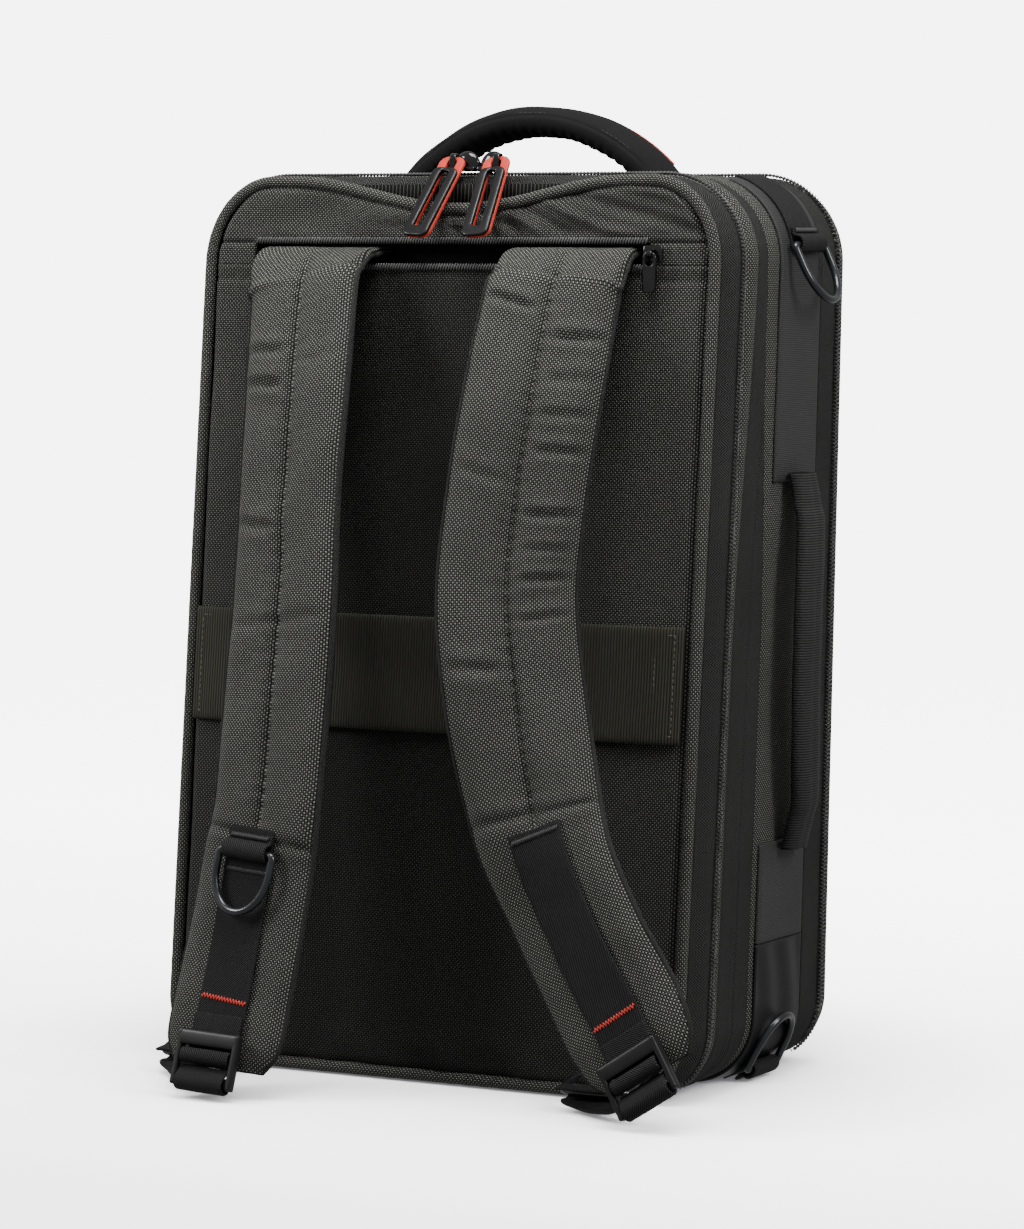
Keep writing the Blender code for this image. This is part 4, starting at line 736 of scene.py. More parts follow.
def panel_sheet(z_low, z_high, rows, x_from=None, x_to=None):
    """Part of the panel between two heights, whole width or between two x."""
    z = np.linspace(z_low, z_high, rows)[:, None]
    half = panel_half(z)
    if x_from is None:
        x = np.sin(np.linspace(-1, 1, 160) * math.pi / 2)[None, :] * half
    else:
        x = np.clip(np.linspace(x_from, x_to, 20)[None, :], -half, half)
    roll = 0
    for deep, inside in ((PANEL_EDGE, half - np.abs(x)), (3.2 * MM, z - PANEL_LOW),
                         (3.2 * MM, PANEL_HIGH - z)):
        roll = roll + deep * np.clip(1 - inside / (5 * MM), 0, 1) ** 2
    front = panel_front(x, z, panel_relief(x, z) - roll)
    under = x[:, np.linspace(x.shape[1] - 1, 0, 12).astype(int)]
    back = place_on_bag(under, 0 * under + 4.8 * MM, z)
    return np.concatenate([front, back], 1), (np.concatenate([x, under + 0.01], 1), z)


def panel_painted_shade(finish):
    """Painted shade: darker down the middle as the straps' painted shadow, and towards the bottom.
    """
    x, _, z = finish.split(finish.own_place())
    middle = 1 - ((abs(x + 0.012) - 0.040) * 11).clamp()
    low = 1 - ((z - 0.02) * 2.6).clamp()
    # The strip above the slot is left without painted shade.
    strip = ((z - 0.400) * 90).clamp()
    return ((1 - middle * 0.62) * (1 - low * 0.40)) * (1 - strip) + strip


# A shaded copy of the charcoal weave: a darker light colour, and the panel's painted shade.
shaded_panel_weave = weave("shaded_panel_weave", WEAVE_DARK, (0.240, 0.241, 0.216), WEAVE_PITCH, WEAVE_DEPTH,
                    painted_shade=panel_painted_shade)


def panel_piece(name, *limits, **sides):
    """One part of the panel as a closed piece."""
    points, uv = panel_sheet(*limits, **sides)
    return surface(name, points, shaded_panel_weave, uv=uv, caps=True)


panel_parts = (
    panel_piece("back_panel_main", PANEL_LOW, SLOT_LOW, 300),
    panel_piece("back_panel_top", SLOT_HIGH, PANEL_HIGH, 44),
    panel_piece("back_panel_corner_left", SLOT_LOW, SLOT_HIGH, 12,
                x_from=-HALF_WIDTH, x_to=SLOT_LEFT),
    panel_piece("back_panel_corner_right", SLOT_LOW, SLOT_HIGH, 12,
                x_from=SLOT_RIGHT, x_to=HALF_WIDTH),
)
for part in panel_parts:
    dress(part, "charcoal_cloth", "back_panel")


# Inside of the slot: the strap pocket's black lining, and a coil along each lip of the slot.
lining_cloth = weave("pocket_lining", (0.004, 0.004, 0.004), (0.014, 0.014, 0.014),
                     0.6 * MM, 0.1 * MM, rough=0.9)
x = np.linspace(-126 * MM, 119 * MM, 90)[None, :]
z = np.linspace(337 * MM, 416 * MM, 40)[:, None]
wavy = wander(x, z, 40 * MM, 43) * 0.5 * MM
front_face = place_on_bag(x, 12.4 * MM + wavy, z)
back_face = place_on_bag(x, 13.7 * MM + wavy, z)[:, ::-1]
lining = surface("strap_pocket_lining", np.concatenate([front_face, back_face], 1), lining_cloth,
                 caps=True, uv=(both_faces(x), z))
dress(lining, "black_cloth", "strap_pocket")
for lip, lip_z in (("upper", SLOT_HIGH + 0.9 * MM), ("lower", SLOT_LOW - 0.9 * MM)):
    x = np.arange(SLOT_LEFT + 2 * MM, SLOT_RIGHT - 1 * MM, 1.5 * MM)
    z = np.full_like(x, lip_z)
    spot = panel_front(x, z, 1.0 * MM)
    along = unit(panel_front(x + MM, z, 1.0 * MM) - spot)
    rise = unit(panel_front(x, z + MM, 1.0 * MM) - spot)
    shape, faces = bean(3.4 * MM, 1.15 * MM, 1.7 * MM, slant=0.25)
    lip_coil = repeat("pocket_coil_" + lip + "_turns", shape, faces, spot, along, rise,
                      unit(np.cross(along, rise)), coil_plastic)
    dress(lip_coil, "black_plastic", "pocket_coil_" + lip)

# Shoulder straps: nylon sewn over foam into two lobes with a stitched seam between them, a
# black spacer mesh behind, and a binding round the edge. They are pulled short along the
# seam, which puckers the lobes; the deeper creases are where the foam has folded.
STRAP_WIDTH = 67 * MM
STRAP_THICKNESS = 12 * MM
STRAP_STANDOFF = 60 * MM
SLOT_MIDDLE = (SLOT_LOW + SLOT_HIGH) / 2 / BODY_HEIGHT
POCKET_SEAT = -0.1849
# height / body height, x / half width, distance off the panel / 60 mm, turn, width,
# thickness, seam
STRAPS = {
    "left": (
        (SLOT_MIDDLE, -0.507, POCKET_SEAT, 0, 0.99, 0.50, 0.0),
        (SLOT_MIDDLE, -0.506, -0.020, 0, 0.99, 0.55, 0.0),
        (0.909, -0.504, 0.140, -3, 0.98, 0.62, 0.3),
        (0.889, -0.492, 0.300, -7, 0.96, 0.80, 0.8),
        (0.863, -0.476, 0.400, -9, 0.96, 0.92, 1.0),
        (0.754, -0.427, 0.633, -11, 0.97, 1.00, 1.0),
        (0.644, -0.402, 0.767, -12, 0.97, 1.00, 1.0),
        (0.536, -0.376, 0.867, -11, 0.98, 1.00, 1.0),
        (0.427, -0.372, 0.933, -9, 0.98, 1.00, 1.0),
        (0.319, -0.370, 1.000, -9, 0.98, 1.00, 1.0),
        (0.253, -0.384, 1.033, -6, 0.99, 0.92, 0.2),
        (0.167, -0.405, 1.100, -5, 1.00, 0.86, 0.0),
        (0.102, -0.420, 1.180, -3, 1.00, 0.82, 0.0),
        (0.056, -0.427, 1.250, -3, 0.97, 0.76, 0.0),
        (0.030, -0.431, 1.290, -3, 0.76, 0.60, 0.0),
    ),
    "right": (
        (SLOT_MIDDLE, 0.451, POCKET_SEAT, 0, 0.99, 0.50, 0.0),
        (SLOT_MIDDLE, 0.451, -0.020, 2, 0.99, 0.55, 0.0),
        (0.909, 0.453, 0.140, 7, 0.99, 0.62, 0.3),
        (0.889, 0.456, 0.300, 13, 0.99, 0.80, 0.8),
        (0.866, 0.457, 0.400, 17, 0.99, 0.92, 1.0),
        (0.758, 0.449, 0.600, 20, 1.00, 1.00, 1.0),
        (0.651, 0.428, 0.683, 21, 1.00, 1.00, 1.0),
        (0.544, 0.423, 0.733, 24, 1.00, 1.00, 1.0),
        (0.439, 0.479, 0.767, 24, 1.00, 1.00, 1.0),
        (0.334, 0.564, 0.783, 9, 1.00, 1.00, 1.0),
        (0.282, 0.623, 0.800, 1, 1.00, 0.92, 0.2),
        (0.231, 0.703, 0.800, -5, 1.00, 0.88, 0.0),
        (0.180, 0.796, 0.817, -6, 1.00, 0.86, 0.0),
        (0.130, 0.897, 0.833, -4, 1.00, 0.84, 0.0),
        (0.098, 0.963, 0.850, -4, 0.98, 0.80, 0.0),
        (0.074, 1.010, 0.860, -4, 0.90, 0.72, 0.0),
        (0.056, 1.041, 0.868, -4, 0.70, 0.58, 0.0),
    ),
}
# creases: height of the crease, which lobe (-1 left, 1 right, 0 both), depth and length in mm
CREASES = {
    "left": ((0.352, -1, 1.5, 7), (0.336, -1, 1.8, 7), (0.345, 1, 0.5, 6), (0.268, -1, 1.2, 8),
             (0.224, 0, 0.5, 9)),
    "right": ((0.372, -1, 1.5, 6), (0.360, 1, 1.8, 6), (0.341, 1, 1.0, 7), (0.325, 1, 1.2, 6),
              (0.308, 1, 1.4, 6), (0.278, 1, 1.5, 6), (0.262, 1, 1.1, 5), (0.247, 1, 1.4, 6),
              (0.227, 1, 0.9, 6), (0.205, -1, 1.2, 8), (0.292, -1, 0.7, 8)),
}
# Places of the cross seams, in rows of the straps' tables
CROSS_SEAMS = {"left": 9.62, "right": 9.25}
CROSS_SLOPE = 0.06


def strap_row(table, place):
    """Rows of a strap's table at fractional places, by a smooth curve through them."""
    rows = np.array(table, float)
    last = len(rows) - 1
    place = np.atleast_1d(np.asarray(place, float))
    first = np.clip(place.astype(int), 0, last - 1)
    share = (place - first)[:, None]
    before, start, end, after = (rows[np.clip(first + step, 0, last)] for step in (-1, 0, 1, 2))
    return 0.5 * (2 * start + (end - before) * share
                  + (2 * before - 5 * start + 4 * end - after) * share ** 2
                  + (3 * start - before - 3 * end + after) * share ** 3)


def strap_middle(rows):
    z = rows[:, 0] * BODY_HEIGHT
    return np.stack([rows[:, 1] * HALF_WIDTH, body_y(0, z) - rows[:, 2] * STRAP_STANDOFF, z], -1)


def strap_frame(side, place):
    """Table rows, centres, and the ways across, down and outwards at places along a strap."""
    table = STRAPS[side]
    last = len(table) - 1
    place = np.atleast_1d(np.asarray(place, float))
    rows = strap_row(table, place)
    ahead = strap_middle(strap_row(table, np.minimum(place + 0.05, last)))
    behind = strap_middle(strap_row(table, np.maximum(place - 0.05, 0)))
    down = unit(ahead - behind)
    turn = np.radians(rows[:, 3])
    wide = np.stack([np.cos(turn), np.sin(turn), 0 * turn], -1)
    wide = unit(wide - down * np.sum(wide * down, -1, keepdims=True))
    return rows, strap_middle(rows), wide, down, unit(np.cross(down, wide))


def strap_face(side, place, lift):
    """Point over the strap's outer face with the ways across, down and outwards, for one place."""
    rows, centre, wide, down, outward = strap_frame(side, place)
    out = centre + outward * (STRAP_THICKNESS / 2 * rows[:, 5:6] + lift)
    return out[0], wide[0], down[0], outward[0]


def strap_rise(a, shoulder_at):
    """Share of the half thickness across the strap: level, then rounded down to its edges."""
    return 1 - 0.98 * (np.clip(np.abs(a) - shoulder_at, 0, 1) / (1 - shoulder_at)) ** 2.6


mesh_cloth = weave("strap_mesh", (0.002, 0.002, 0.002), (0.020, 0.020, 0.020), 1.1 * MM,
                   0.3 * MM, rough=0.9)
pale_thread = Finish("pale_thread", rough=0.6)
pale_thread.colour(pale_thread.blend(pale_thread.noise(700.0), (0.05, 0.05, 0.042),
                                     (0.17, 0.17, 0.145)))
STRAP_COLUMNS = 73
PUCKER_PITCH = 7.15 * MM


def strap_surfaces(side, seed):
    """Front cloth and mesh back of one strap, as two shells that meet along the binding."""
    table = STRAPS[side]
    last = len(table) - 1
    place = np.concatenate([np.linspace(0, 1.2, 18), np.linspace(1.25, last, 330)])
    rows, centre, wide, down, outward = strap_frame(side, place)
    run = run_along(centre)[:, None]
    a = np.sin(np.linspace(-1, 1, STRAP_COLUMNS) * math.pi / 2.25)[None, :]
    a = a / math.sin(math.pi / 2.25)
    rise = strap_rise(a, 0.60 + 0.34 * (1 - ramp(place, 2.2, 4.0))[:, None])
    half_w = STRAP_WIDTH / 2 * rows[:, 4:5]
    half_t = STRAP_THICKNESS / 2 * rows[:, 5:6]
    seam = np.clip(rows[:, 6:7], 0, 1)
    flat = a * half_w
    lobes = np.abs(np.sin(math.pi * np.abs(a) ** 0.9)) ** 0.6
    groove = np.exp(-np.abs(flat) / (2.0 * MM)) * 3.1 * MM
    groove = groove + np.exp(-(flat / (6 * MM)) ** 2) * 0.7 * MM
    pucker = np.sin(run / PUCKER_PITCH * 2 * math.pi + 2.2 * np.sin(run * 47) + seed)
    pucker = pucker * np.exp(-np.abs(flat) / (5 * MM)) * 0.42 * MM
    seam_z = strap_row(table, CROSS_SEAMS[side])[0, 0] * BODY_HEIGHT
    z_gap = centre[:, 2:3] - seam_z + CROSS_SLOPE * flat
    cross = np.exp(-(z_gap / (1.6 * MM)) ** 2) * 1.0 * MM - np.exp(
        -((np.abs(z_gap) - 5 * MM) / (3.5 * MM)) ** 2) * 0.5 * MM
    body = half_t * rise + lobes * 1.1 * MM * seam - 0.7 * MM * seam
    relief = -(groove + pucker) * seam - cross
    z = centre[:, 2:3]
    for crease_z, lobe, deep, size in CREASES[side]:
        slope = crease_z + (flat * 0.10 if lobe >= 0 else -flat * 0.16)
        gap = z - slope
        line = np.exp(-(gap / (size * 0.30 * MM)) ** 2) - 0.55 * np.exp(
            -((gap - size * 0.62 * MM) / (size * 0.42 * MM)) ** 2) - 0.4 * np.exp(
            -((gap + size * 0.62 * MM) / (size * 0.5 * MM)) ** 2)
        where = np.ones_like(a) if lobe == 0 else ramp(lobe * a, 0.03, 0.35)
        relief = relief - line * where * deep * 1.35 * MM * (1 - np.abs(a) ** 6)
    relief = relief + wander(run, flat, 34 * MM, seed) * 0.55 * MM
    relief = relief * np.clip((1 - np.abs(a)) * 9, 0, 1)
    fade = np.clip((place - 0.9) / 0.6, 0, 1)[:, None]
    top = body + relief * fade

    def spots(across, out):
        """Points beside the strap's middle line and off it."""
        return (centre[:, None] + wide[:, None] * across[..., None]
                + outward[:, None] * out[..., None])

    front = spots(flat, top)
    few = np.linspace(0, STRAP_COLUMNS - 1, 13).astype(int)
    few_flat = flat[:, few]
    core = spots(flat * 0.985, 0 * flat - half_t * 0.02)[:, few]
    back = spots(flat * (1 - 0.045 * ramp(np.abs(a), 0.8, 1)),
                 half_t * (0.30 * np.abs(a) ** 8 - 1.0))[:, few[::-1]]
    cover = surface(side + "_strap_cloth", np.concatenate([front, core[:, ::-1]], 1),
                    charcoal_weave, caps=True,
                    uv=(np.concatenate([flat, few_flat[:, ::-1] + 0.1], 1), run))
    lower = surface(side + "_strap_mesh",
                    np.concatenate([core - outward[:, None] * 0.2 * MM, back], 1),
                    mesh_cloth, caps=True, uv=(both_faces(few_flat, 0.1), run))
    dress(cover, "charcoal_cloth", side + "_strap")
    dress(lower, "black_cloth", side + "_strap")
    # Binding: a folded tape round the edge, sewn through both
    edge_turn = circle(12)
    for hand, letter in ((-1, "a"), (1, "b")):
        tube = spots(hand * (half_w * 0.985 + 1.1 * MM * np.cos(edge_turn)),
                     1.9 * MM * rows[:, 5:6] * np.sin(edge_turn) - half_t * 0.10)
        binding = surface(f"{side}_strap_binding_{letter}", tube, tape_cloth, caps=True,
                          uv=(edge_turn * 2 * MM, run))
        dress(binding, "black_cloth", side + "_strap")
    # Stitches down the seam, a pale thread half sunk in it
    lengths = run[:, 0]
    places = np.arange(lengths[0] + 40 * MM, lengths[-1], 3.1 * MM)
    places = places[np.interp(places, lengths, seam[:, 0]) > 0.35]
    middle = read_along(places, lengths, front[:, STRAP_COLUMNS // 2])
    ways = [read_along(places, lengths, way) for way in (wide, down, outward)]
    shape, faces = bean(2.3 * MM, 0.55 * MM, 0.5 * MM)
    thread = repeat(side + "_strap_stitches", shape, faces, middle + ways[2] * 0.25 * MM,
                    *(unit(way) for way in ways), pale_thread)
    dress(thread, "charcoal_cloth", side + "_strap")


strap_surfaces("left", 51)
strap_surfaces("right", 57)

# Webbing: black polyester twill tape. It is sewn down the lower end of each strap with red
# zigzag bar tacks, passes through a ladder-lock buckle and runs back to a hook near the base.
WEBBING_WIDTH = 28 * MM
WEBBING_SHEET = 1.4 * MM
GAP = 0.3 * MM
webbing_cloth = herringbone("black_webbing", (0.0015, 0.0015, 0.0015), (0.038, 0.038, 0.038),
                            1.3 * MM, 28 * MM, 0.40 * MM, rough=0.7)


def smooth_path(points, count, widths=None):
    """An evenly spaced curve through points. Each piece is a cubic whose end slopes lean to the
    shorter neighbour and grow with the piece's own length, so it can't overshoot."""
    points = np.array(points, float)
    step = np.diff(points, axis=0)
    length = np.linalg.norm(step, axis=1, keepdims=True)
    way = step / length
    leaning = unit(way[1:] * length[:-1] + way[:-1] * length[1:])
    slope = np.concatenate([way[:1], leaning, way[-1:]])
    fine = np.linspace(0, len(step), 40 * len(step) + 1)
    first = np.minimum(fine.astype(int), len(step) - 1)
    t = (fine - first)[:, None]
    dense = ((2 * t ** 3 - 3 * t ** 2 + 1) * points[first]
             + (3 * t ** 2 - 2 * t ** 3) * points[first + 1]
             + ((t ** 3 - 2 * t ** 2 + t) * slope[first] + (t ** 3 - t ** 2) * slope[first + 1])
             * length[first])
    run = run_along(dense)
    even = np.linspace(0, run[-1], count)
    path = read_along(even, run, dense)
    if widths is None:
        return path, even
    widths = np.array(widths, float)
    dense = widths[first] * (1 - t) + widths[first + 1] * t
    return path, even, read_along(even, run, dense)


def ribbon(name, points, across, width, sheet, finish, seed=1, count=None):
    """A woven tape along a path: rounded edges, a faint wave, and its map for the weave."""
    points = np.array(points, float)
    if np.ndim(across) == 1:
        across = np.broadcast_to(across, points.shape)
    span = run_along(points)[-1]
    path, run, side = smooth_path(points, count or max(int(span / (0.7 * MM)), 24), across)
    run = run[:, None]
    along = unit(np.gradient(path, axis=0))
    side = unit(side)
    off = np.cross(side, along)
    for _ in range(6):
        off[1:-1] = (off[:-2] + 2 * off[1:-1] + off[2:]) / 4
    off = unit(off)
    turn = np.linspace(-math.pi / 2, math.pi / 2, 5)[1:-1]
    half = sheet / 2
    flat = np.linspace(1, -1, 15) * (width / 2 - half)
    edge = width / 2 - half + half * np.cos(turn)
    a = np.concatenate([flat, -edge, -flat, edge])[None, :]
    b = np.concatenate([0 * flat + half, -half * np.sin(turn), 0 * flat - half,
                        half * np.sin(turn)])[None, :]
    wave = wander(run, a, 22 * MM, seed) * 0.12 * MM
    spots = path[:, None] + side[:, None] * a[..., None] + off[:, None] * (b + wave)[..., None]
    return surface(name, spots, finish, caps=True, uv=(a + width / 2, run))


BUCKLE_LENGTH = 27 * MM
BUCKLE_HALF = 2.5 * MM
BUCKLE_LIFT = 2 * (GAP + WEBBING_SHEET) + 2 * GAP + BUCKLE_HALF
TOP_BAR = 7.5 * MM
MIDDLE_BAR_AT = 12.5 * MM
MIDDLE_BAR_HALF = 1.3 * MM
LOWER_BAR = 4.4 * MM
LOWER_BAR_THICK = 3.2 * MM
LOWER_BAR_AT = BUCKLE_LENGTH - LOWER_BAR / 2
HOOK_WIRE = 3.6 * MM
HOOK_REACH = 24 * MM - HOOK_WIRE
HOOK_HALF = (39 * MM - HOOK_WIRE) / 2
HOOK_RISE = 6.5 * MM
HOOK_Z = 8.4 * MM
HOOK_OUT = 27 * MM
TAB_WIDTH = 26.5 * MM
hook_clear = HOOK_WIRE / 2 + 2 * GAP + WEBBING_SHEET / 2
X_WAY, Y_WAY, Z_WAY = np.eye(3)
TAPES = {
    # side: buckle's place, webbing's top place, last row, hook's x
    "left": (12.78, 10.0, 15, -112 * MM),
    "right": (14.72, 9.55, 17, 112 * MM),
}
buckle_frames, hook_bars = {}, {}
layer_two = -BUCKLE_HALF - GAP - WEBBING_SHEET / 2
layer_one = layer_two - WEBBING_SHEET - GAP
bar_clear = MIDDLE_BAR_HALF * math.sqrt(2) + GAP + WEBBING_SHEET / 2
window_at = (TOP_BAR + MIDDLE_BAR_AT - MIDDLE_BAR_HALF) / 2
lower_wrap = math.hypot(LOWER_BAR, LOWER_BAR_THICK) / 2 + 1.4 * GAP + WEBBING_SHEET / 2


def arc(radius, *degrees):
    """Points of a circle about zero, one at each angle in degrees."""
    return [(radius * math.cos(math.radians(angle)), radius * math.sin(math.radians(angle)))
            for angle in degrees]


def buckle_point(side, along, out=0.0, across=0.0):
    """A point in a buckle's own frame: down its length, out of its middle plane, across it."""
    origin, wide, down, outward = buckle_frames[side]
    return origin + wide * across + down * along + outward * out


for side, (buckle_place, top_place, row_count, hook_x) in TAPES.items():
    buckle_frames[side] = strap_face(side, buckle_place, BUCKLE_LIFT)
    wide = buckle_frames[side][1]
    places = [top_place] + [k / 2 for k in range(2 * row_count)
                            if top_place + 0.1 < k / 2 < buckle_place - 0.1]
    faces = [strap_face(side, place, 2 * GAP + WEBBING_SHEET / 2) for place in places]
    path = [face[0] for face in faces]
    widths = [face[1] for face in faces]
    passes = [(MIDDLE_BAR_AT - 4 * MM, layer_one), (MIDDLE_BAR_AT - 1 * MM, layer_one)]
    passes += [(MIDDLE_BAR_AT + along, out) for along, out in arc(bar_clear, -50, 0, 45, 90)]
    passes += [(window_at + 0.3 * MM, 1.9 * MM), (window_at, -2.2 * MM),
               (8.3 * MM, layer_two), (5.5 * MM, layer_two), (-9 * MM, layer_two)]
    path += [buckle_point(side, *point) for point in passes]
    widths += [wide] * len(passes)
    dress(ribbon(side + "_strap_tape", path, widths, WEBBING_WIDTH, WEBBING_SHEET,
                 webbing_cloth, seed=61), "black_webbing", side + "_strap_webbing")

    path = [buckle_point(side, LOWER_BAR_AT - 7.5 * MM, -1.5 * MM),
            buckle_point(side, LOWER_BAR_AT - 5.2 * MM, 0.8 * MM)]
    path += [buckle_point(side, LOWER_BAR_AT - along, out)
             for along, out in arc(lower_wrap, 50, 90, 135, 180, 225, 262)]
    widths = [wide] * len(path)
    hook_bar = np.array([hook_x, body_y(0, HOOK_Z) - HOOK_OUT, HOOK_Z])
    hook_bars[side] = hook_bar
    start, goal = path[-1], hook_bar + (0, -5 * MM, -hook_clear)
    for share in (0.35, 0.7):
        point = start + (goal - start) * share
        point[2] = max(point[2] * (1 - share * 0.5), WEBBING_SHEET / 2 + 0.8 * MM)
        path.append(point)
        widths.append(wide + (X_WAY - wide) * share)
    turns = arc(hook_clear, -90, -45, 0, 45, 90)
    path += [goal] + [hook_bar + (0, out, up) for out, up in turns]
    path += [hook_bar + (0, -10 * MM, hook_clear)]
    widths += [X_WAY] * (len(turns) + 2)
    dress(ribbon(side + "_adjuster_tape", path, widths, WEBBING_WIDTH, WEBBING_SHEET,
                 webbing_cloth, seed=67), "black_webbing", side + "_adjuster")

    far_bar = hook_bar + (0, HOOK_REACH, HOOK_RISE)
    loop_lift = GAP + WEBBING_SHEET / 2 + 0.2 * MM
    path = [panel_front(far_bar[0], far_bar[2] + length, loop_lift)
            for length in (12 * MM, 6 * MM)]
    path += [far_bar + (0, -out, -up) for out, up in turns]
    path.append(panel_front(far_bar[0], far_bar[2] - hook_clear - 1.5 * MM, loop_lift))
    dress(ribbon(side + "_base_loop_tape", path, X_WAY, TAB_WIDTH * 0.85, WEBBING_SHEET,
                 webbing_cloth, seed=71), "black_webbing", side + "_base_loop")


# Bar tacks: dense zigzags of coral-red thread across the webbing, one near each buckle, and
# plain black ones in the folded top end.
def thread_finish(name, low, high):
    """Sewing thread, a little uneven in colour."""
    finish = Finish(name, rough=0.55)
    finish.colour(finish.blend(finish.noise(900.0), low, high))
    return finish


red_thread = thread_finish("red_thread", (0.40, 0.022, 0.012), (0.62, 0.050, 0.030))
black_thread = thread_finish("black_thread", (0.006, 0.006, 0.006), (0.03, 0.03, 0.03))
olive_thread = thread_finish("olive_thread", (0.045, 0.045, 0.036), (0.11, 0.11, 0.09))


def pipe(name, path, radius, finish, sides=8, closed=False, lead=(0.31, 0.21, 0.93)):
    """A round tube along points, its section kept square to the path by the lead direction."""
    path = np.array(path, float)
    if closed:
        along = unit(np.roll(path, -1, 0) - np.roll(path, 1, 0))
    else:
        along = unit(np.gradient(path, axis=0))
    lead = np.array(lead, float)
    first = unit(np.cross(along, np.broadcast_to(lead, along.shape)))
    second = np.cross(along, first)
    turn = circle(sides)[..., None]
    section = first[:, None] * np.cos(turn) + second[:, None] * np.sin(turn)
    return surface(name, path[:, None] + section * radius, finish, along=closed, caps=not closed)


def zigzag(name, centre, wide, down, off, width, height, count, radius, finish):
    """One thread that runs to and fro across a bar's width while it moves along it."""
    steps = np.linspace(0, 1, 8 * count + 1)
    swing = np.arcsin(np.sin(steps * count * 2 * math.pi)) * 2 / math.pi
    rise = np.cos(steps * count * 4 * math.pi) * 0.10 * MM + radius * 0.3
    path = (centre + wide * ((steps - 0.5) * width)[:, None]
            + down * (swing * height / 2)[:, None] + off * rise[:, None])
    return pipe(name, path, radius, finish, sides=5, lead=off)


# each red tack's place on its strap, skew and width
RED_TACKS = {"left": (12.02, 0.06, 26.0 * MM), "right": (13.50, 0.02, 25.0 * MM)}
for side, (tack_place, skew, tack_width) in RED_TACKS.items():
    spot, wide, down, outward = strap_face(side, tack_place, 2 * GAP + WEBBING_SHEET + 0.1 * MM)
    wide = unit(wide + down * skew)
    dress(zigzag(side + "_red_bar_tack", spot, wide, down, outward, tack_width, 2.3 * MM, 15,
                 0.27 * MM, red_thread), "red_rubber", side + "_strap_webbing")
    spot, wide, down, outward = strap_face(side, TAPES[side][1] + 0.16,
                                           2 * GAP + WEBBING_SHEET + 0.05 * MM)
    dress(zigzag(side + "_top_bar_tack", spot, wide, down, outward, 25 * MM, 2.4 * MM, 26,
                 0.3 * MM, black_thread), "black_cloth", side + "_strap_webbing")


def stitches(name, path, off, finish, pitch=3.0 * MM, thick=0.5 * MM, lift=0.10 * MM):
    """Single stitches along a path, each a small rounded bar lying on the cloth."""
    run = run_along(path)
    places = np.arange(pitch / 2, run[-1], pitch)
    middle = read_along(places, run, path)
    along = unit(read_along(places + MM, run, path) - read_along(places - MM, run, path))
    off = read_along(places, run, np.broadcast_to(off, path.shape))
    side = unit(np.cross(along, off))
    shape, faces = bean(2.2 * MM, thick, thick * 0.8)
    return repeat(name, shape, faces, middle + off * lift, side, along,
                  unit(np.cross(side, along)), finish)


# A cross seam closes each strap's two lobes above the webbing.
for side, place in CROSS_SEAMS.items():
    spot, wide, down, outward = strap_face(side, place, 0.0)
    across = np.linspace(-25 * MM, 25 * MM, 40)[:, None]
    seam_path = spot + (wide + down * CROSS_SLOPE) * across - outward * 1.1 * MM
    dress(stitches(side + "_cross_seam", seam_path, outward, olive_thread, lift=0.15 * MM,
                   thick=0.4 * MM), "charcoal_cloth", side + "_strap")


# Ladder-lock buckles: grained black acetal frames with a broad top bar and a thin middle bar.
buckle_plastic = moulded("buckle_acetal", (0.0045, 0.0045, 0.0045), (0.016, 0.016, 0.016), 0.40,
                         grain=1500.0, depth=0.05 * MM, specular=0.25)


def squared(value, power):
    """A sine or cosine raised with its sign kept, which squares off a round section."""
    return np.sign(value) * np.abs(value) ** power


def rounded_bar(name, start, end, first, second, half_a, half_b, finish, power=4.0):
    """A bar between two points with a squarish rounded section and softly closed ends."""
    start, end = np.array(start, float), np.array(end, float)
    t = 0.5 - 0.5 * np.cos(math.pi * np.linspace(0, 1, 24))
    span = np.linalg.norm(end - start)
    edge = np.minimum(t, 1 - t) * span
    round_end = min(half_a, half_b) * 0.55
    close = np.sqrt(np.clip(1 - (1 - np.clip(edge / round_end, 0, 1)) ** 2, 0.0004, 1))[:, None]
    turn = circle(28)
    a = squared(np.cos(turn), 2 / power) * (half_a - round_end * (1 - close))
    b = squared(np.sin(turn), 2 / power) * (half_b - round_end * (1 - close))
    middle = start + (end - start) * t[:, None]
    spots = middle[:, None] + first * a[..., None] + second * b[..., None]
    return surface(name, spots, finish, caps=True)


BUCKLE_BARS = (
    # half span, place down the buckle, half width, half thickness, squareness of the section
    (17.5 * MM, TOP_BAR / 2, TOP_BAR / 2, BUCKLE_HALF, 4.0),
    (15.5 * MM, MIDDLE_BAR_AT, MIDDLE_BAR_HALF, MIDDLE_BAR_HALF, 2.4),
    (16.0 * MM, LOWER_BAR_AT, LOWER_BAR / 2, LOWER_BAR_THICK / 2, 3.0),
)
LEG_AT = 16.1 * MM
for side, (_, wide, down, outward) in buckle_frames.items():
    bars = [(buckle_point(side, place, across=-span), buckle_point(side, place, across=span),
             down, outward, *halves, buckle_plastic, power)
            for span, place, *halves, power in BUCKLE_BARS]
    bars += [(buckle_point(side, 0.3 * MM, across=x), buckle_point(side, BUCKLE_LENGTH, across=x),
              wide, outward, 1.45 * MM, BUCKLE_HALF, buckle_plastic) for x in (-LEG_AT, LEG_AT)]
    for count, bar in enumerate(bars):
        dress(rounded_bar(f"{side}_buckle_part_{count}", *bar), "black_plastic", side + "_buckle")


